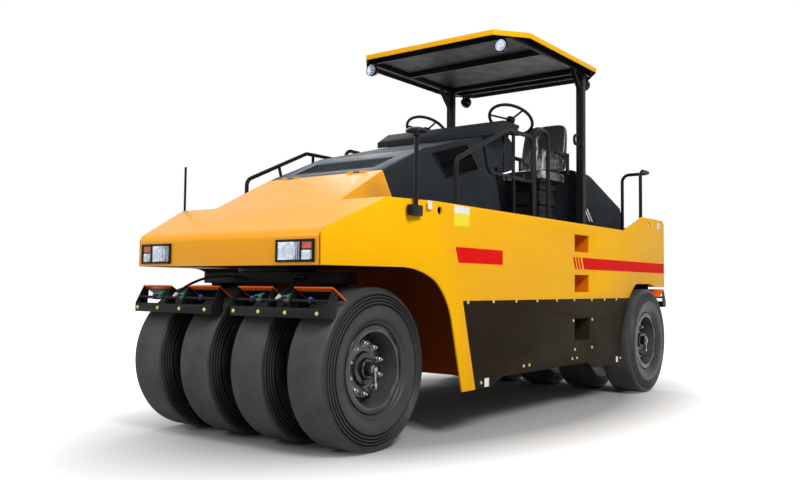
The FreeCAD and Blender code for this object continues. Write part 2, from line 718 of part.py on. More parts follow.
# ---------------------------------------------------------------------------------------------
# Steered front frame
# ---------------------------------------------------------------------------------------------
RING_TOP = D.nose_bottom - D.running_gap
YOKE_TOP = RING_TOP - D.ring_height
YOKE_BOTTOM = YOKE_TOP - D.yoke_height
PAIR_X = D.tyre_pitch


def yoke_leg(side):
    """A leg of the yoke between the two tyres of a pair, with the rocker's eye at its foot."""
    left = side * PAIR_X - D.leg_width / 2
    half, eye = D.leg_depth / 2, D.leg_eye
    plate = prism("leg", "YZ", [(-half, D.tyre_radius), (half, D.tyre_radius),
                                (half, YOKE_BOTTOM), (-half, YOKE_BOTTOM)], left, D.leg_width)
    boss = rod("leg_boss", "X", left, 0, D.tyre_radius, eye, D.leg_width)
    return [plate, boss]


yoke = box("yoke", (-D.yoke_half, D.yoke_half), (-D.yoke_depth / 2, D.yoke_depth / 2),
           (YOKE_BOTTOM, YOKE_TOP))
pin = rod("kingpin", "Z", 0, 0, YOKE_TOP, D.ring_radius, D.ring_height)
ARM_UP = D.tray_bottom + D.tray_height


def tray_arms(along, direction):
    """Arms from the legs to the trays, in the gaps between tyres, at a pair's two places."""
    reach = D.tray_front - D.tray_depth
    low, high = (-reach, Size.of(0)) if direction < 0 else (Size.of(0), reach)
    return low + along, high + along


steer_pieces = [yoke, pin] + yoke_leg(-1) + yoke_leg(1)
low, high = tray_arms(0, -1)
for side in (-1, 1):
    steer_pieces.append(box("arm", (side * PAIR_X - D.arm_width / 2, side * PAIR_X + D.arm_width / 2),
                            (low, high), (D.tray_bottom, ARM_UP)))
yoke_bores = [rod("yoke_bore", "X", side * PAIR_X - D.leg_width, 0, D.tyre_radius, D.axle_radius,
                  D.leg_width * 2) for side in (-1, 1)]
moved(cut("steer_yoke_cut", fused("steer_yoke_blank", steer_pieces), yoke_bores), "steer_yoke")


def front_axle(side):
    """A rocking axle that carries one pair of front wheels."""
    half = D.tyre_pitch / 2 + D.disc_shift + D.hub_length / 2 - 20
    return rod("axle", "X", side * PAIR_X - half, 0, D.tyre_radius, D.axle_radius, half * 2)


legs_bore = [front_axle(-1), front_axle(1)]
moved(gathered("front_axles", legs_bore), "front_axles")


SCRAPER_FALL = (D.scraper_up - D.scraper_wall - D.scraper_foot_up) / (D.scraper_reach - D.scraper_foot)


def tray(along, direction, middles):
    """A sprinkler tray: an open channel, cheeks that carry the scrapers, and a pipe with nozzles."""
    outer, inner = D.tray_front, D.tray_front - D.tray_depth
    half, wall = D.tyre_width / 2, D.tray_wall
    left, right = middles[0] - half, middles[-1] + half
    low, high = (-outer, -inner) if direction < 0 else (inner, outer)
    low, high = low + along, high + along
    solid = box("tray", (left, right), (low, high), (D.tray_bottom, ARM_UP))
    space = box("tray_space", (left + wall, right - wall), (low + wall, high - wall),
                (D.tray_bottom + wall, ARM_UP + 10))
    pieces = [cut("tray_cut", solid, [space])]
    neck = inner - D.cheek_step
    seat = D.scraper_up - D.scraper_wall - D.seat_gap
    cheek = [(along + outer * direction, D.tray_bottom), (along + outer * direction, ARM_UP),
             (along + D.scraper_reach * direction, seat),
             (along + neck * direction, seat - (D.scraper_reach - neck) * SCRAPER_FALL),
             (along + inner * direction, D.tray_bottom)]
    spray = (outer - D.pipe_in) * direction
    for middle in middles:
        for edge in (middle - half, middle + half - wall):
            pieces.append(prism("tray_cheek", "YZ", cheek, edge, wall))
        start = along + spray if direction > 0 else along + spray + D.nozzle_length
        pieces.append(rod("nozzle", "Y", middle, start - D.nozzle_length, D.pipe_up, D.nozzle_radius,
                          D.nozzle_length))
    for middle in middles[:-1:2]:
        for shift in (D.tap_near, D.tap_far):
            pieces.append(rod("spray_tap", "Z", middle + shift, along + spray, D.pipe_up,
                              D.nozzle_radius, D.tap_height))
    pieces.append(rod("spray_pipe", "X", left, along + spray, D.pipe_up,
                      D.pipe_radius, right - left))
    return fused("tray_set", pieces)


def scraper(along, direction, middle):
    """A scraper blade across one tyre, square to its tread, seated on the tray's cheeks."""
    foot, top = D.scraper_foot * direction, D.scraper_reach * direction
    low, high = D.scraper_foot_up, D.scraper_up
    wall = D.scraper_wall
    half = D.tyre_width / 2
    return prism("blade", "YZ", [(foot + along, low), (foot + along, low + wall),
                                 (top + along, high), (top + along, high - wall)],
                 middle - half, half * 2)


trays = [tray(0, -1, [side * PAIR_X - D.tyre_pitch / 2, side * PAIR_X + D.tyre_pitch / 2])
         for side in (-1, 1)]
moved(gathered("front_trays", trays), "front_trays")
blades = [scraper(0, -1, D.tyre_pitch * row) for row in (-1.5, -0.5, 0.5, 1.5)]
moved(gathered("front_scrapers", blades), "front_scrapers")

# ---------------------------------------------------------------------------------------------
# Side plates, skirts and frame
# ---------------------------------------------------------------------------------------------
FRONT_FACE = -D.nose_reach


def half_at(station):
    """Half width over the side plates in the tapered nose."""
    return D.nose_half + TAPER * (Size.of(station) + D.nose_reach)


def plan_outline(inset, front, rear):
    """The plan of the body, or of the room inside the side plates."""
    nose, wide = half_at(front) - inset, D.body_half - inset
    return [(-nose, front), (nose, front), (wide, D.taper_end), (wide, rear),
            (-wide, rear), (-wide, D.taper_end)]


def side_outline():
    """The side plate's outline: nose, arch, strip, rear arch, tail and belt."""
    front = FRONT_FACE + D.hood_wall
    return [
        (front, D.nose_bottom), (D.arch_corner, D.nose_bottom, D.arch_bend),
        (D.strip_toe_front, D.strip_foot), (D.strip_toe_rear, D.strip_foot),
        (D.strip_head, D.skirt_top), (D.rear_arch_front, D.skirt_top),
        (D.rear_arch_in, D.rear_arch_top, D.rear_arch_bend),
        (D.rear_arch_out, D.rear_arch_top, D.rear_arch_bend),
        (D.rear_arch_foot, D.tail_bottom), (TAIL, D.tail_bottom),
        (TAIL, D.tail_belt, D.tail_corner), (D.tail_rise_end, D.tail_belt),
        (D.tail_rise_start, D.belt), (D.slope_end, D.belt),
        (front, D.fascia_top, D.fascia_bend)]


side_view = prism("side_view", "YZ", side_outline(), D.nose_half / 2, D.body_half)
outer, inner = half_at(FRONT_FACE), D.side_wall
strip = prism("side_strip", "XY", [
    (outer - inner, FRONT_FACE), (outer, FRONT_FACE), (D.body_half, D.taper_end),
    (D.body_half, TAIL), (D.body_half - inner, TAIL), (D.body_half - inner, D.taper_end)],
    0, D.tail_belt * 2)
plate = common("side_plate", side_view, strip)


def step_hole(bottom, height, depth, wall):
    """A block the size of one step hole, going in from the body's side."""
    return box("step_hole", (D.body_half - depth, D.body_half + 20),
               (D.step_start + wall, D.step_start + D.step_length - wall),
               (bottom + wall, bottom + height - wall))


holes = [step_hole(D.upper_step, D.step_gap, D.step_depth, 0),
         step_hole(D.middle_step, D.step_gap, D.step_depth, 0),
         rod("front_eye_bore", "X", D.body_half - 60, D.front_eye, D.front_eye_up,
             D.eye_radius, 120),
         rod("rear_eye_bore", "X", D.body_half - 60, D.rear_eye, D.rear_eye_up,
             D.eye_radius, 120)]
left_plate = moved(cut("side_plate_cut", plate, holes), "side_plate_left")
mirrored(left_plate, "side_plate_right")

skirt = prism("skirt", "YZ", [
    (D.strip_head + D.skirt_gap, D.skirt_top - D.skirt_gap),
    (D.strip_toe_rear + D.skirt_gap, D.skirt_bottom),
    (D.skirt_relief_front - 180, D.skirt_bottom), (D.skirt_relief_front, D.skirt_bottom + D.skirt_relief),
    (D.skirt_relief_rear - 180, D.skirt_bottom + D.skirt_relief), (D.skirt_relief_rear, D.skirt_bottom),
    (D.skirt_rear, D.skirt_bottom), (D.skirt_rear_mid, D.tyre_radius + D.skirt_rear_knee),
    (D.skirt_rear_high, D.tyre_radius + D.skirt_rear_rise), (D.rear_arch_front, D.skirt_top - D.skirt_gap)],
    D.body_half - D.skirt_wall, D.skirt_wall)
left_skirt = moved(cut("skirt_cut", skirt, [step_hole(D.lower_step, D.lower_gap, D.step_depth, 0)]),
                   "skirt_left")
mirrored(left_skirt, "skirt_right")

# Ballast box between the skirts, with the lower step's pockets in its sides.
BOX_HALF = D.body_half - D.skirt_wall
ballast = box("ballast", (-BOX_HALF, BOX_HALF), (D.bulkhead + D.frame_wall, D.ballast_rear),
              (D.skirt_bottom + D.skirt_relief, D.skirt_top - D.skirt_gap))
pockets = [step_hole(D.lower_step, D.lower_gap, D.step_depth, 0)]
other = DOC.addObject("Part::Mirroring", "other_pocket")
other.Source = step_hole(D.lower_step, D.lower_gap, D.step_depth, 0)
other.Normal = Vector(1, 0, 0)
moved(cut("ballast_cut", ballast, pockets + [other]), "ballast_box")


def step_box(bottom):
    """An upper step pocket: sheet walls behind a hole in the side plate."""
    inside = D.body_half - D.side_wall
    shell = box("step_shell", (inside - D.step_depth, inside),
                (D.step_start - D.step_wall, D.step_start + D.step_length + D.step_wall),
                (bottom - D.step_wall, bottom + D.step_gap + D.step_wall))
    room = box("step_room", (inside - D.step_depth + D.step_wall, inside + 5),
               (D.step_start, D.step_start + D.step_length), (bottom, bottom + D.step_gap))
    return cut("step_box", shell, [room])


steps = [step_box(D.upper_step), step_box(D.middle_step)]
left_steps = gathered("steps_left", steps)
right_steps = DOC.addObject("Part::Mirroring", "steps_right")
right_steps.Source = left_steps
right_steps.Normal = Vector(1, 0, 0)
moved(gathered("all_steps", [left_steps, right_steps]), "step_boxes")

# Frame: cross head over the kingpin, engine floor, wall behind the front wheels, rear members.
HEAD_TOP = D.nose_bottom + D.head_height
ROOM = prism("frame_room", "XY", plan_outline(D.side_wall, FRONT_FACE + D.hood_wall, TAIL),
             0, D.tail_belt * 2)
frame_raw = fused("frame_raw", [
    box("cross_head", (-D.body_half, D.body_half), (-D.head_front, D.head_front),
        (D.nose_bottom, HEAD_TOP)),
    box("engine_floor", (-D.body_half, D.body_half), (D.head_front, D.bulkhead),
        (D.nose_bottom + 10, D.nose_bottom + 10 + D.frame_wall)),
    box("wheel_wall", (-D.body_half, D.body_half), (D.bulkhead, D.bulkhead + D.frame_wall),
        (D.skirt_bottom + D.skirt_relief, D.belt - D.deck_wall)),
    box("box_roof", (-D.body_half, D.body_half), (D.bulkhead, D.ballast_rear),
        (D.skirt_top - D.skirt_gap, D.skirt_top + D.frame_wall)),
    box("rear_wall", (-D.body_half, D.body_half), (D.ballast_rear - D.frame_wall, D.ballast_rear),
        (D.skirt_top, D.belt - D.deck_wall)),
    box("rear_floor", (-D.body_half, D.body_half), (D.ballast_rear - D.frame_wall, TAIL - D.side_wall),
        (D.rear_arch_top + 6, D.rear_arch_top + 6 + D.frame_wall)),
])
moved(common("frame_cut", frame_raw, ROOM), "main_frame")

moved(box("engine", (-D.engine_half, D.engine_half), (D.engine_front, D.engine_front + D.engine_length),
          (D.skirt_top + D.frame_wall, D.skirt_top + D.frame_wall + D.engine_height)), "engine_block")
radiator = box("radiator", (-D.radiator_half, D.radiator_half),
               (D.radiator_front, D.radiator_front + D.radiator_depth),
               (D.nose_bottom + 10 + D.frame_wall, D.radiator_top))
moved(radiator, "radiator")

# Deck: a plate between the side plates, open below the cowl.
DECK_TOP = D.belt
deck_raw = common("deck_raw", box("deck_block", (-D.body_half, D.body_half),
                                  (D.slope_end + 30, TAIL - D.side_wall),
                                  (D.belt - D.deck_wall, D.belt)), ROOM)
deck_hole = box("deck_hole", (-D.hood_half + 30, D.hood_half - 30), (D.slope_end + 40, D.cowl_rear - 30),
                (D.belt - 60, D.belt + 20))
moved(cut("deck", deck_raw, [deck_hole]), "operator_deck")

# ---------------------------------------------------------------------------------------------
# Hood, grille lid, cowl and console
# ---------------------------------------------------------------------------------------------
def lean_view(name, inset, front, rear):
    """A prism with the hood's leaning sides, seen from the front."""
    top = D.console_up
    wide = D.hood_half - inset
    narrow = wide - D.cowl_lean * (top - D.belt)
    low = D.belt - 100
    wide_low = wide + D.cowl_lean * 100
    return prism(name, "XZ", [(-wide_low, low), (wide_low, low), (narrow, top), (-narrow, top)],
                 front, Size.of(rear) - front)


wall = D.hood_wall
# Lower slope and fascia, between the cheeks.
nose_out = prism("nose_out", "YZ", [
    (FRONT_FACE, D.nose_bottom), (FRONT_FACE, D.fascia_top, D.fascia_bend),
    (D.slope_end, D.belt), (D.slope_end + 30, D.belt), (D.slope_end + 30, D.belt - wall),
    (D.slope_end + 2, D.belt - wall), (FRONT_FACE + wall, D.fascia_top - 2, D.fascia_bend - wall),
    (FRONT_FACE + wall, D.nose_bottom)], -D.body_half, D.body_half * 2)
nose_room = prism("nose_room", "XY", plan_outline(D.side_wall, FRONT_FACE, D.wheelbase),
                  0, D.tail_belt * 2)
nose_shell = common("nose_shell", nose_out, nose_room)
# Raised part, from the slope to the lid's edge.
raised_side = [(D.slope_end, D.belt), (D.lid_front, D.lid_front_up), (D.split_foot, D.belt)]
raised_out = common("raised_out", prism("raised_out_side", "YZ", raised_side, -D.body_half,
                                        D.body_half * 2),
                    lean_view("raised_out_lean", 0, D.slope_end, D.split_foot))
raised_in_side = [(D.slope_end + 6, D.belt - 20), (D.lid_front + 3, D.lid_front_up - wall),
                  (D.split_foot + 90, D.belt - 20)]
raised_in = common("raised_in", prism("raised_in_side", "YZ", raised_in_side, -D.body_half,
                                      D.body_half * 2),
                   lean_view("raised_in_lean", wall, D.slope_end, D.split_foot + 90))
raised = cut("raised_shell", raised_out, [raised_in])


def hinge_rod(name, middle, radius, length):
    """A rod on the lid's hinge line."""
    return rod(name, "X", middle - length / 2, D.lid_front, D.lid_front_up, radius, length)


def hinge_notch(name, middle, length):
    """Room round a knuckle on the hinge line."""
    reach = D.knuckle_radius + D.lid_gap
    return box(name, (middle - length / 2, middle + length / 2), (D.lid_front - reach, D.lid_front + reach),
               (D.lid_front_up - reach, D.lid_front_up + reach))


BARREL = D.knuckle_length + D.running_gap * 4
hood_pieces = [nose_shell, raised]
for side in (-1, 1):
    for step in (-1, 1):
        hood_pieces.append(hinge_rod("barrel", side * D.hinge_x + step * (BARREL + D.knuckle_length) / 2,
                                     D.knuckle_radius, D.knuckle_length))
hood_blank = fused("hood_blank", hood_pieces)
hood_notched = cut("hood_notched", hood_blank, [
    hinge_notch("hood_notch", side * D.hinge_x, BARREL) for side in (-1, 1)])
hood_pins = [hinge_rod("hinge_pin", side * D.hinge_x, D.hinge_pin_radius, D.knuckle_length * 2)
             for side in (-1, 1)]
moved(fused("nose_hood", [hood_notched] + hood_pins), "nose_hood")

# Cowl: black shell behind the hood, open where the lid lies.
cowl_side = [(D.split_foot + 3, D.belt), (D.lid_front + 3, D.lid_front_up), (D.lid_rear, D.lid_rear_up),
             (D.cowl_rise, D.cowl_rise_up), (D.cowl_rear, D.cowl_rear_up), (D.cowl_rear, D.belt)]
cowl_out = common("cowl_out", prism("cowl_out_side", "YZ", cowl_side, -D.body_half, D.body_half * 2),
                  lean_view("cowl_out_lean", 0, D.lid_front, D.cowl_rear))
cowl_in_side = [(D.split_foot - 60, D.belt - 20), (D.lid_front - 80, D.lid_front_up - wall),
                (D.lid_rear, D.lid_rear_up - wall), (D.cowl_rise, D.cowl_rise_up - wall),
                (D.cowl_rear - wall, D.cowl_rear_up - wall * 2), (D.cowl_rear - wall, D.belt - 20)]
cowl_in = common("cowl_in", prism("cowl_in_side", "YZ", cowl_in_side, -D.body_half, D.body_half * 2),
                 lean_view("cowl_in_lean", wall, D.lid_front - 100, D.cowl_rear - wall))
LID_HALF = D.hood_half - D.cowl_lean * (D.lid_rear_up - D.belt) - 12
LID_FRONT = D.lid_front + D.seat_gap
SPLIT_LEAN = (D.split_foot - D.lid_front) / (D.lid_front_up - D.belt)
lid_hole = box("lid_hole", (-LID_HALF - D.lid_gap, LID_HALF + D.lid_gap),
               (D.lid_front - 40, D.lid_rear), (D.lid_front_up - 90, D.lid_rear_up + 40))
screen_corners = [
    (D.vent_top_front, D.cowl_rise_up - D.vent_top_front_drop),
    (D.vent_top_rear, D.cowl_rise_up - D.vent_top_rear_drop),
    (D.vent_low_rear, D.cowl_rise_up - D.vent_low_rear_drop),
    (D.vent_low_front, D.cowl_rise_up - D.vent_low_front_drop)]
screen_hole = prism("screen_hole", "YZ", screen_corners, -D.hood_half, D.hood_half * 2)
SCREEN_RISE = (D.vent_top_front_drop - D.vent_top_rear_drop) / (D.vent_top_rear - D.vent_top_front)
bar_foot = D.cowl_rise_up - D.vent_low_front_drop - D.vent_pitch * 7
bars = new_body("screen_bars")
bar_sketch = new_sketch(bars, "YZ", -D.hood_half)
bar_run = D.vent_low_rear - D.vent_top_front
draw(bar_sketch, [
    (D.vent_top_front - 5, bar_foot), (D.vent_low_rear + 5, bar_foot + bar_run * SCREEN_RISE),
    (D.vent_low_rear + 5, bar_foot + bar_run * SCREEN_RISE + D.vent_bar),
    (D.vent_top_front - 5, bar_foot + D.vent_bar)])
bar_pad = pad(bars, bar_sketch, D.hood_half * 2)
bar_rows = bars.newObject("PartDesign::LinearPattern", "bar_rows")
bar_rows.Originals = [bar_pad]
bar_rows.Direction = ([item for item in bars.Origin.OriginFeatures if item.Role == "Z_Axis"][0], [""])
BAR_COUNT = int(D.vent_low_front_drop.value / D.vent_pitch.value) + 3
bind(bar_rows, "Length", D.vent_pitch * (BAR_COUNT - 1))
bar_rows.Occurrences = BAR_COUNT
bar_rows.Refine = False
bars.Tip = bar_rows
stays = [prism("screen_stay", "YZ", [
    (D.vent_top_front + bar_run * share, D.cowl_rise_up - D.vent_low_front_drop),
    (D.vent_top_front + bar_run * share + D.vent_bar, D.cowl_rise_up - D.vent_low_front_drop),
    (D.vent_top_front + bar_run * share + D.vent_bar, D.cowl_rise_up),
    (D.vent_top_front + bar_run * share, D.cowl_rise_up)], -D.hood_half, D.hood_half * 2)
    for share in (0.36, 0.6)]
screen_slots = cut("screen_slots", screen_hole, [bars] + stays)
cowl = cut("cowl", cowl_out, [cowl_in, lid_hole, screen_slots])
moved(cowl, "cowl_shell")

# Lid: frame with a slatted grille, hinged along its lower edge.
LID_SLOPE = (D.lid_rear_up - D.lid_front_up) / (D.lid_rear - D.lid_front)


def lid_height(station):
    return D.lid_front_up + LID_SLOPE * (Size.of(station) - D.lid_front)


def lid_layer(front, rear, top, bottom):
    """A slice parallel to the lid's slope, as a side view."""
    return [(front, lid_height(front) - top), (rear, lid_height(rear) - top),
            (rear, lid_height(rear) - bottom), (front, lid_height(front) - bottom)]


lid = new_body("lid")
lid_sketch = new_sketch(lid, "YZ", -LID_HALF)
lid_outline = lid_layer(LID_FRONT, D.lid_rear - D.lid_gap, 0, D.lid_wall)
lid_foot = LID_FRONT + (D.lid_wall + 6) * SPLIT_LEAN
lid_outline[3] = (lid_foot, lid_height(lid_foot) - D.lid_wall)
draw(lid_sketch, lid_outline)
pad(lid, lid_sketch, LID_HALF * 2)
lid_well = new_sketch(lid, "XY", D.belt)
draw(lid_well, rectangle(-D.grille_half, D.grille_half, D.grille_front, D.grille_rear))
pocket(lid, lid_well, D.lid_rear_up - D.belt + D.lid_wall, forward=True)
slat = new_sketch(lid, "YZ", -D.grille_half + D.slat_pitch)
draw(slat, lid_layer(D.grille_front - 4, D.grille_rear + 4, 3, D.lid_wall - 4))
slat_pad = pad(lid, slat, D.slat_wall)
slats = lid.newObject("PartDesign::LinearPattern", "slats")
slats.Originals = [slat_pad]
slats.Direction = ([item for item in lid.Origin.OriginFeatures if item.Role == "X_Axis"][0], [""])
SLAT_COUNT = int(round((D.grille_half.value * 2 - D.slat_pitch.value) / D.slat_pitch.value))
bind(slats, "Length", D.slat_pitch * (SLAT_COUNT - 1))
slats.Occurrences = SLAT_COUNT
lid.Tip = slats
ALL_BARRELS = D.knuckle_length * 3 + D.lid_gap * 2
lid_room = [hinge_notch("lid_notch", side * D.hinge_x, ALL_BARRELS) for side in (-1, 1)]
LEAF_HALF = D.knuckle_length / 2
lid_leaves = [box("lid_leaf", (side * D.hinge_x - LEAF_HALF, side * D.hinge_x + LEAF_HALF),
                  (D.lid_front, D.lid_front + D.knuckle_radius + D.lid_gap + 2),
                  (D.lid_front_up - D.hinge_pin_radius, D.lid_front_up + D.hinge_pin_radius))
              for side in (-1, 1)]
lid_knuckles = [hinge_rod("lid_knuckle", side * D.hinge_x, D.knuckle_radius, D.knuckle_length)
                for side in (-1, 1)]
lid_pins = [hinge_rod("lid_bore", side * D.hinge_x, D.hinge_pin_radius + D.running_gap,
                      D.knuckle_length * 2) for side in (-1, 1)]
lid_blank = fused("lid_blank", [cut("lid_notched", lid, lid_room)] + lid_leaves + lid_knuckles)
moved(cut("lid_cut", lid_blank, lid_pins), "grille_lid")

# Console across the cowl's rear.
console = prism("console", "YZ", [
    (D.console_front, D.console_front_up), (D.console_brow, D.console_up),
    (D.console_rear, D.console_up), (D.console_rear, D.console_up - D.console_wall),
    (D.cowl_rear + 30, D.cowl_rear_up), (D.cowl_rear, D.cowl_rear_up),
    (D.console_front, D.console_front_up - D.console_lip)],
    -D.console_half, D.console_half * 2)
panel = prism("dash_panel", "YZ", [
    (D.console_rear - D.panel_depth, D.console_up), (D.console_rear - D.panel_depth / 4, D.panel_up),
    (D.console_rear, D.panel_up), (D.console_rear, D.console_up)],
    -D.panel_half, D.panel_half * 2)
moved(fused("dash", [console, panel]), "dash_console")

# ---------------------------------------------------------------------------------------------
# Operator's place
# ---------------------------------------------------------------------------------------------
def seat(side):
    """A seat: pedestal, cushion with rounded corners, round-shouldered back and arm rests."""
    middle = side * D.seat_x
    rear = D.seat_front + D.seat_depth
    foot = box("pedestal", (middle - D.seat_foot_half, middle + D.seat_foot_half),
               (D.seat_front + 80, rear - 60), (DECK_TOP, D.seat_up - D.seat_cushion))
    left, right = middle - D.seat_half, middle + D.seat_half
    bend = D.seat_round
    cushion = prism("cushion", "XY", [(left, D.seat_front, bend), (right, D.seat_front, bend),
                                      (right, rear), (left, rear)],
                    D.seat_up - D.seat_cushion, D.seat_cushion)
    thick = D.seat_back_wall
    side_view = prism("seat_back_side", "YZ", [
        (rear - thick, D.seat_up - 20), (rear, D.seat_up - 20),
        (rear + D.seat_lean, D.seat_back_up), (rear + D.seat_lean - thick * 0.6, D.seat_back_up)],
        left, D.seat_half * 2)
    front_view = prism("seat_back_front", "XZ", [
        (left, D.seat_up - 40), (right, D.seat_up - 40), (right - 30, D.seat_back_up, bend),
        (left + 30, D.seat_back_up, bend)], rear - thick, thick + D.seat_lean)
    back = common("seat_back", side_view, front_view)
    rests = []
    for edge in (left - D.arm_rest, right):
        level = D.seat_up + D.arm_up
        rests.append(prism("arm_rest", "YZ", [
            (rear - D.arm_length, level - 38, 12), (rear - D.arm_length, level, 12),
            (rear, level), (rear, D.seat_up - 20), (rear - 40, D.seat_up - 20),
            (rear - 60, level - 38, 20)], edge, D.arm_rest))
    return fused("seat", [foot, cushion, back] + rests)


moved(gathered("seats", [seat(-1), seat(1)]), "operator_seats")


BOSS_DROP = 34


def column(side):
    feature = DOC.addObject("Part::Cylinder", "column")
    bind(feature, "Radius", D.column_radius)
    bind(feature, "Height", D.column_length)
    angle = math.radians(D.wheel_tilt.value)
    feature.Placement = Placement(Vector(), Rotation(Vector(1, 0, 0), -D.wheel_tilt.value))
    drop = D.column_length + BOSS_DROP + D.seat_gap
    place(feature, side * D.wheel_x, D.wheel_station - drop * math.sin(angle),
          D.wheel_up - drop * math.cos(angle), shift=False)
    return feature


def steering_wheel(side, label):
    """A steering wheel: rim, three spokes and a boss, turned about its own axis."""
    rim = DOC.addObject("Part::Torus", "wheel_rim")
    bind(rim, "Radius1", D.wheel_radius - D.wheel_rim)
    bind(rim, "Radius2", D.wheel_rim)
    boss = DOC.addObject("Part::Cylinder", "wheel_boss")
    boss.Placement = Placement(Vector(0, 0, -BOSS_DROP), Rotation())
    bind(boss, "Radius", D.column_radius + 8)
    bind(boss, "Height", 46)
    spokes = []
    for turn in (90, 210, 330):
        spoke = DOC.addObject("Part::Cylinder", "wheel_spoke")
        bind(spoke, "Radius", 9)
        bind(spoke, "Height", D.wheel_radius - D.wheel_rim)
        spoke.Placement = Placement(Vector(), Rotation(Vector(0, 0, 1), turn)
                                    * Rotation(Vector(0, 1, 0), 90))
        spokes.append(spoke)
    whole = fused("steering_wheel", [rim, boss] + spokes)
    whole.Placement = Placement(Vector(), Rotation(Vector(1, 0, 0), -D.wheel_tilt.value))
    place(whole, side * D.wheel_x, D.wheel_station, D.wheel_up)
    return node(whole, label)


moved(gathered("columns", [column(-1), column(1)]), "steering_columns")
steering_wheel(1, "handwheel_left")
steering_wheel(-1, "handwheel_right")

# ---------------------------------------------------------------------------------------------
# Tail
# ---------------------------------------------------------------------------------------------
tail_plate = prism("tail_plate", "XZ", [
    (-D.body_half + D.side_wall, D.tail_bottom), (D.body_half - D.side_wall, D.tail_bottom),
    (D.body_half - D.side_wall, D.tail_belt - D.tail_corner),
    (-D.body_half + D.side_wall, D.tail_belt - D.tail_corner)], TAIL - D.side_wall, D.side_wall)
moved(tail_plate, "tail_plate")

cover_side = prism("cover_side", "YZ", [
    (D.cover_front, D.belt), (D.cover_front, D.cover_up), (D.cover_ridge, D.cover_up, 60),
    (D.cover_knee, D.cover_knee_up, 60), (D.cover_rear, D.belt)],
    -D.cover_half, D.cover_half * 2)
cover_end = prism("cover_end", "XZ", [
    (-D.cover_half, D.belt), (D.cover_half, D.belt), (D.cover_half, D.cover_knee_up, 60),
    (D.cover_half - D.cover_lean, D.cover_up, 60), (D.cover_lean - D.cover_half, D.cover_up, 60),
    (-D.cover_half, D.cover_knee_up, 60)], D.cover_front, D.cover_rear - D.cover_front)
cover_slots = []
for side in (-1, 1):
    for row in range(6):
        station = D.cover_front + D.cover_vent_start + D.cover_vent_pitch * row
        foot = D.belt + D.cover_vent_foot
        slot = prism("cover_slot", "YZ", [
            (station, foot), (station + D.cover_vent_slot, foot),
            (station + D.cover_vent_slot - D.cover_vent_height * 0.2, foot + D.cover_vent_height),
            (station - D.cover_vent_height * 0.2, foot + D.cover_vent_height)],
            side * D.cover_half - 12, 24)
        cover_slots.append(slot)
moved(cut("rear_cover_cut", common("rear_cover", cover_side, cover_end), cover_slots), "rear_cover")

CARRIER_HEAD = D.rear_arch_top + 6


def carrier(middle):
    """A rear axle carrier: a tapered plate between two tyres, with the axle's eye."""
    left = middle - D.carrier_wall / 2
    half, eye = D.carrier_head_half, D.carrier_eye
    plate = prism("carrier", "YZ", [
        (D.wheelbase - half, CARRIER_HEAD), (D.wheelbase - eye, D.tyre_radius),
        (D.wheelbase + eye, D.tyre_radius), (D.wheelbase + half, CARRIER_HEAD)],
        left, D.carrier_wall)
    boss = rod("carrier_boss", "X", left, D.wheelbase, D.tyre_radius, eye, D.carrier_wall)
    return fused("carrier_blank", [plate, boss])


def bored(name, piece, left, width, radius):
    hole = rod("bore", "X", left - 10, D.wheelbase, D.tyre_radius, radius, width + 20)
    return cut(name, piece, [hole])


carriers = [bored("carrier_bored", carrier(D.tyre_pitch * row), D.tyre_pitch * row - D.carrier_wall / 2,
                  D.carrier_wall, D.axle_radius + D.running_gap) for row in (-1.5, -0.5, 0.5, 1.5)]
moved(gathered("carriers", carriers), "rear_carriers")

rear_arms = [box("rear_arm", (D.tyre_pitch * row - D.arm_width / 2, D.tyre_pitch * row + D.arm_width / 2),
                 (D.wheelbase + D.tray_front - D.tray_depth - D.tray_wall,
                  D.wheelbase + D.tray_front - D.tray_depth + D.tray_wall),
                 (D.tray_bottom, D.rear_arch_top + 6)) for row in (-1.5, 1.5)]
rear_tray = tray(D.wheelbase, 1, [D.tyre_pitch * row for row in (-2, -1, 0, 1, 2)])
moved(fused("rear_tray", [rear_tray] + rear_arms), "rear_tray")
blades = [scraper(D.wheelbase, 1, D.tyre_pitch * row) for row in (-2, -1, 0, 1, 2)]
moved(gathered("rear_scrapers", blades), "rear_scrapers")

# ---------------------------------------------------------------------------------------------
# Canopy
# ---------------------------------------------------------------------------------------------
def roof_outline(inset):
    half, front, rear = D.roof_half - inset, D.roof_front + inset, D.roof_rear - inset
    short = D.roof_half - D.roof_chamfer_x - inset
    return [(-short, front), (short, front), (half, D.roof_front + D.roof_chamfer_y),
            (half, D.roof_rear - D.roof_chamfer_y), (short, rear), (-short, rear),
            (-half, D.roof_rear - D.roof_chamfer_y), (-half, D.roof_front + D.roof_chamfer_y)]


roof_bottom = D.roof_up - D.roof_fascia
roof_solid = prism("roof_solid", "XY", roof_outline(0), roof_bottom, D.roof_fascia)
roof_room = prism("roof_room", "XY", roof_outline(D.roof_wall), roof_bottom - 10,
                  D.roof_fascia + 10 - D.roof_wall)
moved(cut("roof", roof_solid, [roof_room]), "canopy_roof")

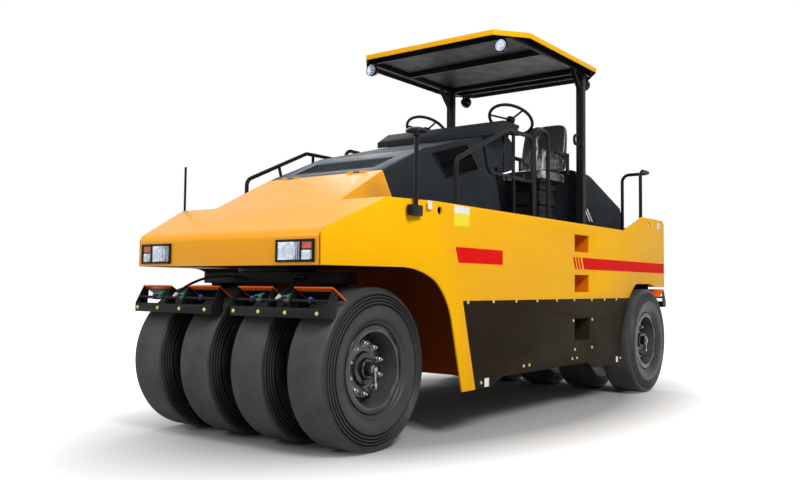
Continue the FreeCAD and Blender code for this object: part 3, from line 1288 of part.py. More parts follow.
TUBE_TOP = D.roof_up - D.roof_wall
TUBE_LOW = TUBE_TOP - D.roof_tube
half_post = D.post_size / 2
frame_pieces = []
for side in (-1, 1):
    frame_pieces.append(box("post", (side * D.post_x - half_post, side * D.post_x + half_post),
                            (D.post_station - half_post, D.post_station + half_post),
                            (DECK_TOP, TUBE_TOP)))
    rail_side = side * D.post_x
    frame_pieces.append(box("roof_rail", (rail_side - D.roof_tube / 2, rail_side + D.roof_tube / 2),
                            (D.roof_front + 150, D.roof_rear - 150), (TUBE_LOW, TUBE_TOP)))
    post_face = D.post_station - half_post
    brace_foot = TUBE_LOW - D.brace_drop
    brace = prism("brace", "YZ", [
        (post_face, brace_foot), (post_face, brace_foot + 45),
        (post_face - D.brace_reach + 45, TUBE_LOW), (post_face - D.brace_reach, TUBE_LOW)],
        side * D.post_x - D.roof_tube / 2, D.roof_tube)
    grab_x = side * D.post_x
    grab = tube("grab_loop", [
        (grab_x, D.post_station, D.grab_up), (grab_x, D.post_station - D.grab_reach, D.grab_up),
        (grab_x, D.post_station - D.grab_reach, D.grab_up + D.grab_height),
        (grab_x, D.post_station, D.grab_up + D.grab_height)], D.grab_height / 2.5, D.rail_radius * 0.8)
    frame_pieces.append(grab)
    frame_pieces.append(box("post_foot", (grab_x - D.post_size, grab_x + D.post_size),
                            (D.post_station - D.post_size, D.post_station + D.post_size),
                            (DECK_TOP, DECK_TOP + D.deck_wall)))
    frame_pieces.append(brace)
for station in (D.roof_front + 170, (D.roof_front + D.post_station) / 2, D.post_station, D.roof_rear - 170):
    frame_pieces.append(box("roof_bar", (-D.post_x, D.post_x), (station - 15, station + 15),
                            (TUBE_LOW, TUBE_TOP)))
moved(fused("canopy_frame", frame_pieces), "canopy_frame")

work_lamps = []
for side in (-1, 1):
    for station, away in ((D.roof_front + 150, -1), (D.roof_rear - 165, 1)):
        centre = TUBE_LOW - D.work_lamp_radius - 14
        back, lens = station - away * 20, station + away * 20
        shell = DOC.addObject("Part::Cone", "lamp_shell")
        shell.Placement = Placement(Vector(), Rotation(Vector(1, 0, 0), 90 * -away))
        bind(shell, "Radius1", D.work_lamp_radius * 0.62)
        bind(shell, "Radius2", D.work_lamp_radius)
        bind(shell, "Height", D.work_lamp_depth * 0.7)
        place(shell, side * D.work_lamp_x, back, centre, shift=False)
        rim_start = back + away * D.work_lamp_depth * 0.7
        rim_low = rim_start if away > 0 else rim_start - D.work_lamp_depth * 0.3
        rim = rod("lamp_rim", "Y", side * D.work_lamp_x, rim_low, centre, D.work_lamp_radius,
                  D.work_lamp_depth * 0.3)
        face = rim_low + D.work_lamp_depth * 0.2 if away > 0 else rim_low - 10
        dish = rod("lamp_dish", "Y", side * D.work_lamp_x, face, centre, D.work_lamp_radius - 6,
                   D.work_lamp_depth * 0.1 + 10)
        stalk = box("lamp_stalk", (side * D.work_lamp_x - 8, side * D.work_lamp_x + 8),
                    (back - 6, back + 6), (centre, TUBE_LOW))
        work_lamps.append(cut("work_lamp_cut", fused("work_lamp_set", [shell, rim, stalk]), [dish]))
moved(gathered("work_lamps", work_lamps), "work_lamps")

# ---------------------------------------------------------------------------------------------
# Rails, lamps, mirror and rod
# ---------------------------------------------------------------------------------------------
R, X, FOOT = D.rail_radius, D.rail_x, D.belt
guard = [
    tube("guard_top", [(X, D.rail_front, FOOT), (X, D.rail_front, D.rail_front_up),
                       (X, D.rail_top_front, D.rail_up), (X, D.rail_rear, D.rail_up),
                       (X, D.rail_rear, FOOT)], D.rail_bend, R),
    tube("guard_stanchion", [(X, D.rail_stanchion, FOOT), (X, D.rail_stanchion, D.rail_up)],
         D.rail_bend, R * 0.8),
    tube("guard_mid", [(X, D.rail_mid_front - 60, D.rail_mid_up + 190),
                       (X, D.rail_mid_front, D.rail_mid_up), (X, D.rail_rear, D.rail_mid_up)],
         D.rail_bend, R * 0.8)]
hoop = tube("entry_hoop", [(D.hoop_x, D.hoop_front, FOOT), (D.hoop_x, D.hoop_front, D.hoop_up),
                           (D.hoop_x, D.hoop_rear, D.hoop_up), (D.hoop_x, D.hoop_rear, FOOT)],
            D.rail_bend, R)
guard_left = moved(gathered("guards_left", [fused("guard", guard), hoop]), "guard_rail_left")
mirrored(guard_left, "guard_rail_right")

corner_rail = tube("corner_rail", [
    (X, D.corner_rail_front, FOOT), (X, D.corner_rail_front, D.corner_rail_up),
    (X, D.corner_rail_rear, D.corner_rail_up), (D.corner_rail_in, D.corner_rail_rear, D.corner_rail_up),
    (D.corner_rail_in, D.corner_rail_rear, FOOT)], D.rail_bend, R)
moved(corner_rail, "corner_rail_left")

headlamps = []
lamp_top = D.lamp_bottom + D.lamp_height
lamp_middle = D.lamp_bottom + D.lamp_height / 2
for side in (-1, 1):
    near, far = (D.lamp_in, D.lamp_out) if side > 0 else (-D.lamp_out, -D.lamp_in)
    shell = box("headlamp", (near, far), (FRONT_FACE - D.lamp_proud, FRONT_FACE), (D.lamp_bottom, lamp_top))
    rim, recess = D.lamp_rim, (FRONT_FACE - D.lamp_proud - 5, FRONT_FACE - D.lamp_proud * 0.3)
    inner_edge, split_edge, outer_edge = D.lamp_in + rim, D.lamp_split, D.lamp_out - rim
    panes = []
    for first, last, foot, head in (
            (inner_edge, split_edge - rim / 2, D.lamp_bottom + rim, lamp_top - rim),
            (split_edge + rim / 2, outer_edge, lamp_middle + rim / 2, lamp_top - rim),
            (split_edge + rim / 2, outer_edge, D.lamp_bottom + rim, lamp_middle)):
        across = (first, last) if side > 0 else (-last, -first)
        panes.append(box("lamp_pane", across, recess, (foot, head)))
    headlamps.append(cut("headlamp_cut", shell, panes))
moved(gathered("headlamps", headlamps), "headlamps")

tail_lamps = []
for side in (-1, 1):
    middle = side * (D.body_half - 190)
    tail_lamps.append(box("tail_lamp", (middle - 110, middle + 110), (TAIL, TAIL + D.lamp_proud),
                          (D.tail_bottom + 120, D.tail_bottom + 220)))
moved(gathered("tail_lamps", tail_lamps), "tail_lamps")

bracket = box("mirror_bracket", (half_at(D.mirror_station), half_at(D.mirror_station) + 46),
              (D.mirror_station - 60, D.mirror_station + 60), (D.belt - 110, D.belt - 40))
post = rod("mirror_post", "Z", half_at(D.mirror_station) + 30, D.mirror_station, D.belt - 110,
           D.mirror_post_radius, D.mirror_up - D.belt + 110)
head = DOC.addObject("Part::Cone", "mirror_head")
bind(head, "Radius1", D.mirror_radius * 0.55)
bind(head, "Radius2", D.mirror_radius)
bind(head, "Height", D.mirror_height)
place(head, half_at(D.mirror_station) + 30, D.mirror_station, D.mirror_up - 4, shift=False)
mirror_raw = fused("mirror_raw", [bracket, post, head])
trim = prism("mirror_trim", "XY", plan_outline(0, FRONT_FACE, D.wheelbase), 0, D.roof_up)
moved(cut("mirror", mirror_raw, [trim]), "mirror_post")

moved(rod("marker_rod", "Z", -D.rod_x, D.rod_station, D.belt, D.rod_radius, D.rod_up - D.belt),
      "marker_rod")

# ---------------------------------------------------------------------------------------------
# Build, check and write
# ---------------------------------------------------------------------------------------------
DOC.recompute()
faults = [item.Name for item in DOC.Objects if "Invalid" in item.State or "Error" in item.State]
for label, feature in NODES:
    shape = feature.Shape
    if shape.isNull() or not shape.isValid() or not shape.Solids:
        faults.append(label)
if faults:
    raise RuntimeError("failed: %s" % ", ".join(faults))

os.makedirs("parts", exist_ok=True)
for label, feature in NODES:
    feature.Shape.exportStep("parts/%s.step" % label)
print("wrote", len(NODES), "sub-parts")
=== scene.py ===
"""Looks of the pneumatic tyre roller: paint, rubber, glass, padded seats and small hardware.

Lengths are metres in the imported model's frame: +X is the machine's left, -Y its front, +Z up.
"""
import logging
import math
from dataclasses import dataclass, field
from enum import Enum
from typing import Callable, Optional, Sequence, Union

import bmesh
import bpy
from mathutils import Matrix, Vector


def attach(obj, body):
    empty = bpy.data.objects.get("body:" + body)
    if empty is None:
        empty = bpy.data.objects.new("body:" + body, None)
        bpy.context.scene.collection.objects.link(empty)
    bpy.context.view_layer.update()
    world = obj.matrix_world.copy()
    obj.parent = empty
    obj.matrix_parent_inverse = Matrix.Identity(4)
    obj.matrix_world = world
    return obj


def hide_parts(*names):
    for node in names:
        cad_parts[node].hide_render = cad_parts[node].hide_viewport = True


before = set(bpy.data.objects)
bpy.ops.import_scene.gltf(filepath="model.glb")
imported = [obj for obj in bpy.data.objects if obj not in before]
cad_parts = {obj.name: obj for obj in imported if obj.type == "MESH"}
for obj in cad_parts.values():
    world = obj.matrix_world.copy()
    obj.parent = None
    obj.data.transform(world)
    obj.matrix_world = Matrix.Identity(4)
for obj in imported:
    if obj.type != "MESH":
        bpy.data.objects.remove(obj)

Point = tuple[float, float, float]
Pair = tuple[float, float]
Shade = tuple[int, int, int]
Colour = tuple[float, float, float, float]
Form = bmesh.types.BMesh
Face = bmesh.types.BMFace
Mesh = bpy.types.Mesh
Object = bpy.types.Object
Socket = bpy.types.NodeSocket

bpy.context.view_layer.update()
LOG = logging.getLogger("roller")
AXLE = -2.111
REAR_AXLE = 1.974
BODY_HALF = 1.093
TYRE_RADIUS = 0.518
TYRE_HALF = 0.159
PITCH = 0.5
CHASSIS = "chassis"
STEERING = "front_steering"


def station(along: float) -> float:
    """Turns a distance behind the front axle into a place along Y."""
    return along + AXLE


def tone(shade: Shade) -> Colour:
    """Turns a display colour of 0 to 255 into a linear one."""
    parts = (c / 255 / 12.92 if c <= 10 else ((c / 255 + 0.055) / 1.055) ** 2.4 for c in shade)
    return (*parts, 1.0)


class Side(Enum):
    """The machine's sides, as signs along X."""

    LEFT = 1
    RIGHT = -1


# Finishes
class Nodes:
    """A node tree, with short ways to add nodes."""

    prefix = "ShaderNode"

    def __init__(self, tree: bpy.types.NodeTree) -> None:
        """Takes over a tree and empties it."""
        self.tree = tree
        tree.nodes.clear()

    def node(self, kind: str, sockets: Optional[dict] = None, **values: object) -> bpy.types.Node:
        """Adds a node.

        Args:
            kind: the node's type, without the tree's prefix.
            sockets: what each input takes: a socket is linked to it, anything else is set on it.
            values: the node's own properties.

        Returns:
            The node.
        """
        made = self.tree.nodes.new(self.prefix + kind)
        for key, value in values.items():
            setattr(made, key, value)
        for key, value in (sockets or {}).items():
            if isinstance(value, Socket):
                self.tree.links.new(value, made.inputs[key])
            else:
                made.inputs[key].default_value = value
        return made

    def work(self, operation: str, first: Socket, second: Socket) -> Socket:
        """Joins two values by an operation."""
        return self.node("Math", {0: first, 1: second}, operation=operation).outputs[0]

    def ramp(self, value: Socket, low: float, high: float, start: float = 0.0,
             end: float = 1.0) -> Socket:
        """Maps a value from low..high to start..end, held at both ends.

        Args:
            value: the socket to map.
            low: the value that gives start.
            high: the value that gives end.
            start: the first result.
            end: the last result.

        Returns:
            The mapped value.
        """
        return self.node("MapRange", {"Value": value, "From Min": low, "From Max": high,
                                      "To Min": start, "To Max": end}).outputs["Result"]

    def seen(self) -> Socket:
        """Gives 1 on rays from the camera, from a reflection or through a clear part.

        Returns:
            1 on those rays and 0 on all others.
        """
        path = self.node("LightPath").outputs
        both = self.work("MAXIMUM", path["Is Camera Ray"], path["Is Glossy Ray"])
        return self.work("MAXIMUM", both, path["Is Transmission Ray"])


class Graph(Nodes):
    """A material's node tree."""

    def __init__(self, name: str) -> None:
        """Starts an empty material of that name.

        Args:
            name: the material's name.
        """
        self.material = bpy.data.materials.new(name)
        self.material.use_nodes = True
        super().__init__(self.material.node_tree)
        self.place = self.node("TexCoord").outputs["Object"]

    def show(self, shader: bpy.types.Node) -> bpy.types.Material:
        """Sends a shader to the surface and gives the material."""
        self.node("OutputMaterial", {"Surface": shader.outputs[0]})
        return self.material

    def noise(self, scale: float, detail: float, stretch: Point = (1, 1, 1),
              rough: float = 0.55) -> Socket:
        """Adds noise on the object's own coordinates.

        Args:
            scale: how fine the noise is.
            detail: its octaves.
            stretch: a factor for each axis.
            rough: how strong the fine octaves are.

        Returns:
            The noise's value, from 0 to 1.
        """
        mapping = self.node("Mapping", {"Vector": self.place, "Scale": stretch})
        return self.node("TexNoise", {"Vector": mapping.outputs[0], "Scale": scale, "Detail": detail,
                                      "Roughness": rough}).outputs["Fac"]

    def blend(self, factor: Socket, first: Union[Socket, Colour], second: Colour) -> Socket:
        """Mixes two colours by a factor."""
        return self.node("Mix", {"Factor": factor, 6: first, 7: second}, data_type="RGBA").outputs[2]

    def bump(self, height: Socket, depth: float) -> Socket:
        """Turns a height of that depth into a normal."""
        return self.node("Bump", {"Height": height, "Distance": depth}).outputs[0]


@dataclass(frozen=True)
class Coating:
    """A material on one shader, made once and then shared."""

    name: str
    slot: str

    def inputs(self, graph: Graph) -> dict[str, object]:
        """Gives what the shader's inputs take."""
        raise NotImplementedError

    def build(self) -> bpy.types.Material:
        """Makes the material, or gives the one already made.

        Returns:
            The material.
        """
        ready = bpy.data.materials.get(self.name)
        if ready:
            return ready
        graph = Graph(self.name)
        return graph.show(graph.node("BsdfPrincipled", self.inputs(graph)))


@dataclass(frozen=True)
class Finish(Coating):
    """A finish of two tones, with a grain, a roughness range, and dust that thins out upwards."""

    base: Shade
    second: Shade
    patch: float = 2.5
    rough: Pair = (0.35, 0.5)
    metal: float = 0.0
    grain: float = 260.0
    depth: float = 0.0
    coat: float = 0.0
    dust: float = 0.0
    dust_top: float = 1.0
    stretch: Point = (1.0, 1.0, 1.0)
    shine: float = 0.5
    dirt: Shade = (150, 138, 120)

    def inputs(self, graph: Graph) -> dict[str, object]:
        """Mixes the tones and the dust, and lays the grain.

        Args:
            graph: the material's tree.

        Returns:
            What the shader's inputs take.
        """
        patch = graph.noise(self.patch, 5.0, self.stretch)
        colour = graph.blend(graph.ramp(patch, 0.3, 0.7), tone(self.base), tone(self.second))
        wander = graph.noise(self.patch * 3.1, 6.0, self.stretch, 0.65)
        if self.dust > 0:
            split = graph.node("SeparateXYZ", {0: graph.place})
            height = graph.ramp(split.outputs["Z"], 0.0, self.dust_top, self.dust, 0.0)
            speck = graph.ramp(graph.noise(7.0, 8.0, rough=0.7), 0.38, 0.72)
            colour = graph.blend(graph.work("MULTIPLY", height, speck), colour, tone(self.dirt))
        made = {"Base Color": colour, "Roughness": graph.ramp(wander, 0.3, 0.7, *self.rough),
                "Metallic": self.metal, "Specular IOR Level": self.shine,
                "Coat Weight": self.coat, "Coat Roughness": 0.08}
        if self.depth > 0:
            made["Normal"] = graph.bump(graph.noise(self.grain, 3.0, self.stretch), self.depth)
        return made


@dataclass(frozen=True)
class WrappedVinyl(Coating):
    """Black vinyl under a loose clear film: wrinkles, and pale streaks where the film creases,
    painted as highlights of the film.
    """

    name: str = "wrapped_vinyl"
    slot: str = "seat_cover"
    base: Shade = (44, 46, 44)
    crease_highlight: Shade = (206, 208, 210)
    wrinkle: float = 5.0
    depth: float = 0.012

    def inputs(self, graph: Graph) -> dict[str, object]:
        """Lays the wrinkles and the painted highlight streaks.

        Args:
            graph: the material's tree.

        Returns:
            What the shader's inputs take.
        """
        fold = graph.noise(self.wrinkle, 6.0, (1.0, 1.0, 0.4), 0.6)
        streak = graph.noise(self.wrinkle * 0.8, 3.0, (1.6, 1.6, 0.35), 0.5)
        # painted highlight: pale streaks on the wrinkle crests stand in for the clear film's glints
        crest = graph.work("MULTIPLY", graph.ramp(streak, 0.50, 0.53),
                           graph.ramp(streak, 0.60, 0.55))
        mask = graph.work("MULTIPLY", crest, graph.ramp(fold, 0.50, 0.60))
        normal = graph.bump(fold, self.depth)
        return {"Base Color": graph.blend(mask, tone(self.base), tone(self.crease_highlight)),
                "Roughness": graph.ramp(streak, 0.3, 0.7, 0.06, 0.28), "Specular IOR Level": 0.3,
                "Coat Weight": 0.35, "Coat Roughness": 0.08, "Normal": normal, "Coat Normal": normal}


@dataclass(frozen=True)
class ClearLens(Coating):
    """A clear moulded lens: thin glass with upright flutes pressed into it."""

    name: str = "fluted_lens"
    slot: str = "lamp_lens"
    flutes: float = 19.0
    depth: float = 0.0012

    def inputs(self, graph: Graph) -> dict[str, object]:
        """Gives clear glass with its flutes.

        Args:
            graph: the material's tree.

        Returns:
            What the shader's inputs take.
        """
        wave = graph.node("TexWave", {"Vector": graph.place, "Scale": self.flutes},
                          bands_direction="X")
        return {"Base Color": (0.93, 0.96, 1.0, 1.0), "Transmission Weight": 1.0, "Roughness": 0.03,
                "IOR": 1.35, "Normal": graph.bump(wave.outputs["Fac"], self.depth)}


YELLOW = Finish("yellow_enamel", "body_paint", (253, 188, 10), (250, 180, 8), 1.6, (0.34, 0.44),
                depth=0.00006, grain=420, shine=0.05, dust=0.06, dust_top=0.7)
# Painted shade: the nose hood has the body's yellow paint, shifted to amber so that its shaded
# fascia reads darker.
HOOD_SHADED_YELLOW = Finish("hood_yellow_painted_shade", "body_paint", (253, 174, 14), (250, 166, 10), 1.4, (0.24, 0.34),
                    depth=0.00005, grain=420, shine=0.2)
# Painted shade: the step wells have the body's yellow paint, darkened to orange for the shade inside
# the recesses.
STEP_WELL_SHADE = Finish("step_well_painted_shade", "body_paint", (214, 112, 12), (204, 102, 10), 1.6,
                     (0.4, 0.5), shine=0.05)
DECAL_RED = Finish("red_stripe_film", "body_paint", (232, 24, 20), (224, 20, 18), 3.0,
                   (0.45, 0.55), shine=0.03)
PLATE_WHITE = Finish("blank_white_label", "body_paint", (238, 238, 232), (226, 226, 220), 9.0,
                     (0.4, 0.5))
PLATE_YELLOW = Finish("blank_yellow_label", "body_paint", (250, 226, 20), (244, 216, 16), 9.0,
                      (0.4, 0.5))
LID_GREY = Finish("pale_slate_paint", "cowl_paint", (100, 108, 118), (84, 92, 101), 1.6,
                  (0.5, 0.62), depth=0.00012, grain=520, shine=0.08)
COWL_GREY = Finish("slate_satin_paint", "cowl_paint", (44, 48, 53), (32, 36, 40), 1.6,
                   (0.6, 0.74), depth=0.00012, grain=520, shine=0.08)
FRAME_BLACK = Finish("satin_black_paint", "frame_paint", (30, 30, 31), (22, 22, 23), 2.4,
                     (0.38, 0.54), depth=0.00012, grain=380, dust=0.1, dust_top=0.8, shine=0.1)
SKIRT_BLACK = Finish("skirt_black_paint", "frame_paint", (48, 40, 28), (34, 28, 19), 0.9,
                     (0.5, 0.62), depth=0.00016, grain=300, dust=0.06, dust_top=0.75, shine=0.03)
ORANGE = Finish("orange_enamel", "scraper_paint", (244, 106, 24), (234, 92, 16), 5.0, (0.3, 0.45),
                depth=0.0001, grain=300, shine=0.2)
TREAD = Finish("worn_tread_rubber", "tyre_rubber", (80, 80, 80), (58, 58, 59), 3.4, (0.62, 0.82),
               depth=0.0007, grain=95, dust=0.08, dust_top=0.5, shine=0.2)
WALL = Finish("sidewall_rubber", "tyre_rubber", (50, 50, 51), (38, 38, 39), 6.0, (0.36, 0.5),
              depth=0.0006, grain=130, dust=0.03, dust_top=0.4, shine=0.3)
# Painted shade: near-black strips in the valleys between the tyre's shoulder rings.
GROOVE_SHADE = Finish("tyre_groove_painted_shade", "tyre_rubber", (22, 22, 22), (16, 16, 16), 6.0, (0.6, 0.75),
                shine=0.05)
# Painted reflection: the black rim's barrel is painted grey inside for the light it reflects from
# the floor.
RIM_BARREL_SHEEN = Finish("rim_barrel_painted_sheen", "rim_paint", (78, 78, 80), (60, 60, 62), 8.0, (0.2, 0.34),
                  depth=0.00015, grain=200, shine=0.5)
RIM_BLACK = Finish("rim_gloss_black", "rim_paint", (24, 24, 26), (18, 18, 19), 8.0, (0.14, 0.28),
                   depth=0.00015, grain=200, dust=0.04, dust_top=0.5, shine=0.6)
# Painted shade: the body's yellow darkened to orange-brown, for the hood's underside, the side
# plates' inner faces and the frame behind the front wheels.
CHASSIS_SHADE_ORANGE = Finish("shaded_chassis_orange", "body_paint", (150, 66, 18), (132, 56, 14), 1.6,
                      (0.5, 0.65), depth=0.0001, grain=300, shine=0.05)
CASTING = Finish("painted_casting", "cast_metal", (66, 66, 68), (50, 50, 52), 8.0, (0.5, 0.7),
                 depth=0.0009, grain=190)
STEEL = Finish("turned_steel", "bare_steel", (170, 172, 176), (140, 142, 146), 16.0, (0.24, 0.42),
               metal=1.0, depth=0.00015, grain=500)
BRASS = Finish("passivated_bolt", "bare_steel", (240, 218, 150), (214, 186, 110), 30.0,
               (0.3, 0.5), metal=0.35)
FINS = Finish("core_fins", "core_fins", (44, 46, 50), (30, 32, 35), 20.0, (0.45, 0.6), metal=0.3,
              depth=0.0016, grain=90, stretch=(3.0, 3.0, 0.2))
GRIP = Finish("moulded_grip", "grip_plastic", (26, 26, 28), (20, 20, 21), 18.0, (0.4, 0.55),
              depth=0.0003, grain=600, shine=0.16)
HOUSING = Finish("lamp_housing", "lamp_body", (20, 20, 22), (15, 15, 17), 14.0, (0.22, 0.36),
                 depth=0.0002, grain=400, shine=0.15)
REFLECTOR = Finish("lamp_reflector", "lamp_lens", (226, 230, 236), (196, 200, 208), 30.0,
                   (0.06, 0.14), metal=1.0)
LAMP_BOWL = Finish("work_lamp_bowl", "lamp_lens", (128, 132, 140), (98, 102, 110), 30.0,
                   (0.12, 0.22), metal=1.0)
RED_LENS = Finish("red_lens", "red_lens", (190, 16, 12), (150, 10, 8), 30.0, (0.1, 0.2), coat=0.6)
AMBER_LENS = Finish("amber_lens", "lamp_lens", (224, 96, 14), (196, 74, 8), 30.0, (0.1, 0.2),
                    coat=0.6)
HOSE = Finish("hose_rubber", "frame_paint", (24, 24, 25), (18, 18, 19), 30.0, (0.45, 0.6),
              depth=0.0003, grain=700, shine=0.2)
TAP_GREEN = Finish("green_tap", "scraper_paint", (18, 120, 96), (12, 96, 78), 30.0, (0.3, 0.4))
NOZZLE_BLUE = Finish("blue_nozzle", "scraper_paint", (36, 84, 190), (26, 64, 160), 30.0, (0.3, 0.4))
FITTING_WHITE = Finish("white_fitting", "lamp_lens", (222, 220, 210), (200, 198, 188), 30.0,
                       (0.35, 0.45))
# Near black for joints, wires and the footwell's bulkhead, and painted shade on the upright sides of
# the lid's slats.
DARK_GAP_AND_SHADE = Finish("panel_gap", "frame_paint", (16, 15, 15), (12, 12, 12), 4.0, (0.7, 0.85),
                  shine=0.05)
WRAP = WrappedVinyl()
LENS = ClearLens()


# Making meshes
def enter(name: str, data: bpy.types.ID) -> Object:
    """Puts an object of that name and data in the scene.

    Args:
        name: its name.
        data: its mesh, curve, lamp or camera.

    Returns:
        The object.
    """
    made = bpy.data.objects.new(name, data)
    bpy.context.scene.collection.objects.link(made)
    return made


def as_mesh(form: Form, name: str) -> Mesh:
    """Turns a working mesh into a mesh.

    Args:
        form: the working mesh, which is freed.
        name: the mesh's name.

    Returns:
        The mesh.
    """
    mesh = bpy.data.meshes.new(name)
    form.to_mesh(mesh)
    form.free()
    return mesh


def turned(spot: Point, degrees: float, axis: str) -> Matrix:
    """Gives a turn about one axis, placed at a spot."""
    return Matrix.Translation(spot) @ Matrix.Rotation(math.radians(degrees), 4, axis)


def piece(name: str, shape: Union[Form, Mesh], finishes: Sequence[Coating], body: str = CHASSIS,
          replaces: Sequence[str] = (), angle: float = 32.0) -> Object:
    """Puts a piece in the scene.

    Args:
        name: the piece's name.
        shape: a finished mesh, or a working mesh, which is merged and turned outwards first.
        finishes: its finishes, in the order of its material indices.
        body: the body it rides on.
        replaces: the nodes it stands for.
        angle: edges sharper than this, in degrees, stay sharp.

    Returns:
        The piece.
    """
    if isinstance(shape, Form):
        bmesh.ops.remove_doubles(shape, verts=shape.verts, dist=1e-6)
        bmesh.ops.recalc_face_normals(shape, faces=shape.faces)
        shape = as_mesh(shape, name)
    if not shape.materials:
        for finish in finishes:
            shape.materials.append(finish.build())
    shape.shade_smooth()
    shape.set_sharp_from_angle(angle=math.radians(angle))
    made = enter(name, shape)
    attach(made, body)
    if replaces:
        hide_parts(*replaces)
    LOG.info("%s: %d faces on %s", name, len(shape.polygons), body)
    return made


def add_lathe(form: Form, profile: Sequence[Pair], turn: Matrix, segments: int,
              tint: Union[int, Sequence[int]] = 0, closed: bool = False) -> None:
    """Adds a turned form: a profile of (along, reach) spun about the turn's X axis.

    Args:
        form: the working mesh.
        profile: points of the profile.
        turn: where the turning axis lies.
        segments: steps round the axis.
        tint: its material index, or one for each strip of the profile.
        closed: whether the profile's last point joins its first.
    """
    rings = []
    for along, reach in profile:
        angles = [math.tau * step / segments for step in range(segments if reach > 1e-7 else 1)]
        rings.append([form.verts.new(turn @ Vector((along, reach * math.cos(angle),
                                                    reach * math.sin(angle))))
                      for angle in angles])
    pairs = list(zip(rings, rings[1:])) + ([(rings[-1], rings[0])] if closed else [])
    for strip, (first, second) in enumerate(pairs):
        for step in range(segments):
            after = (step + 1) % segments
            corners = [first[step % len(first)], first[after % len(first)],
                       second[after % len(second)], second[step % len(second)]]
            unique = list(dict.fromkeys(corners))
            if len(unique) > 2:
                face = form.faces.new(unique)
                face.material_index = tint if isinstance(tint, int) else tint[strip]


def add_block(form: Form, low: Point, high: Point, bevel: float = 0.0, tint: int = 0,
              turn: Optional[Matrix] = None) -> None:
    """Adds a block with rounded edges.

    Args:
        form: the working mesh.
        low: its lowest corner.
        high: its highest corner.
        bevel: the rounding of its edges.
        tint: its material index.
        turn: a placement applied to it last.
    """
    low, high = Vector(low), Vector(high)
    size = Matrix.Diagonal((*(high - low), 1.0))
    verts = bmesh.ops.create_cube(form, size=1.0,
                                  matrix=Matrix.Translation((low + high) / 2) @ size)["verts"]
    if bevel > 0:
        edges = list({edge for vert in verts for edge in vert.link_edges})
        verts = bmesh.ops.bevel(form, geom=edges, offset=bevel, segments=3, profile=0.5,
                                affect="EDGES")["verts"]
    faces = {face for vert in verts for face in vert.link_faces}
    for face in faces:
        face.material_index = tint
    if turn:
        bmesh.ops.transform(form, matrix=turn, verts=list({v for f in faces for v in f.verts}))


def add_run(form: Form, side: float, x: Pair, y: Pair, z: Pair, bevel: float, tint: int = 0) -> None:
    """Adds a block from its runs along the axes.

    Args:
        form: the working mesh.
        side: +1, or -1 to mirror it across the machine.
        x: its run across.
        y: its run along.
        z: its run up.
        bevel: the rounding of its edges.
        tint: its material index.
    """
    low, high = sorted((side * x[0], side * x[1]))
    add_block(form, (low, y[0], z[0]), (high, y[1], z[1]), bevel, tint)


def add_slab(form: Form, outline: Sequence[Point], thick: Point, tint: int = 0) -> None:
    """Adds a flat slab: an outline pushed along a vector.

    Args:
        form: the working mesh.
        outline: the corners of one face.
        thick: how far, and which way, the other face lies.
        tint: its material index.
    """
    low = [form.verts.new(corner) for corner in outline]
    high = [form.verts.new(Vector(corner) + Vector(thick)) for corner in outline]
    faces = [form.faces.new(low[::-1]), form.faces.new(high)]
    for step in range(len(low)):
        after = (step + 1) % len(low)
        faces.append(form.faces.new([low[step], low[after], high[after], high[step]]))
    for face in faces:
        face.material_index = tint


def add_bar(form: Form, start: Point, end: Point, radius: float, segments: int = 12) -> None:
    """Adds a round bar between two points, with slightly domed ends.

    Args:
        form: the working mesh.
        start: the middle of its first end.
        end: the middle of its last end.
        radius: its radius.
        segments: steps round it.
    """
    axis = Vector(end) - Vector(start)
    turn = Matrix.Translation(Vector(start)) @ axis.to_track_quat("X", "Z").to_matrix().to_4x4()
    length = axis.length
    lip = min(radius * 0.25, length * 0.2)
    add_lathe(form, [(0, 0), (0, radius - lip), (lip, radius), (length - lip, radius),
                     (length, radius - lip), (length, 0)], turn, segments)


def softened(node: str, finishes: Sequence[Coating], body: str = CHASSIS, round_off: float = 0.0,
             angle: float = 34.0, steps: int = 2,
             tint: Optional[Callable[[Face], int]] = None) -> Object:
    """Dresses a CAD node: its own form with whole flat faces and rounded edges.

    Args:
        node: the node to stand for.
        finishes: the finishes, by material index.
        body: the body it rides on.
        round_off: the rounding of its edges.
        angle: edges sharper than this, in degrees, are rounded.
        steps: faces across a rounding.
        tint: gives a face's material index.

    Returns:
        The piece.
    """
    form = bmesh.new()
    form.from_mesh(bpy.data.objects[node].data)
    bmesh.ops.remove_doubles(form, verts=form.verts, dist=2e-6)
    bmesh.ops.dissolve_limit(form, angle_limit=math.radians(0.4), verts=form.verts, edges=form.edges)
    if tint:
        for face in form.faces:
            face.material_index = tint(face)
    if round_off > 0:
        sharp = [edge for edge in form.edges if len(edge.link_faces) == 2
                 and edge.calc_face_angle(0.0) > math.radians(angle)
                 and edge.calc_length() > round_off * 2.2]
        bmesh.ops.bevel(form, geom=sharp, offset=round_off, segments=steps, profile=0.5,
                        affect="EDGES", clamp_overlap=True, harden_normals=False)
    name = node + "_skin"
    return piece(name, as_mesh(form, name), finishes, body, (node,), angle)


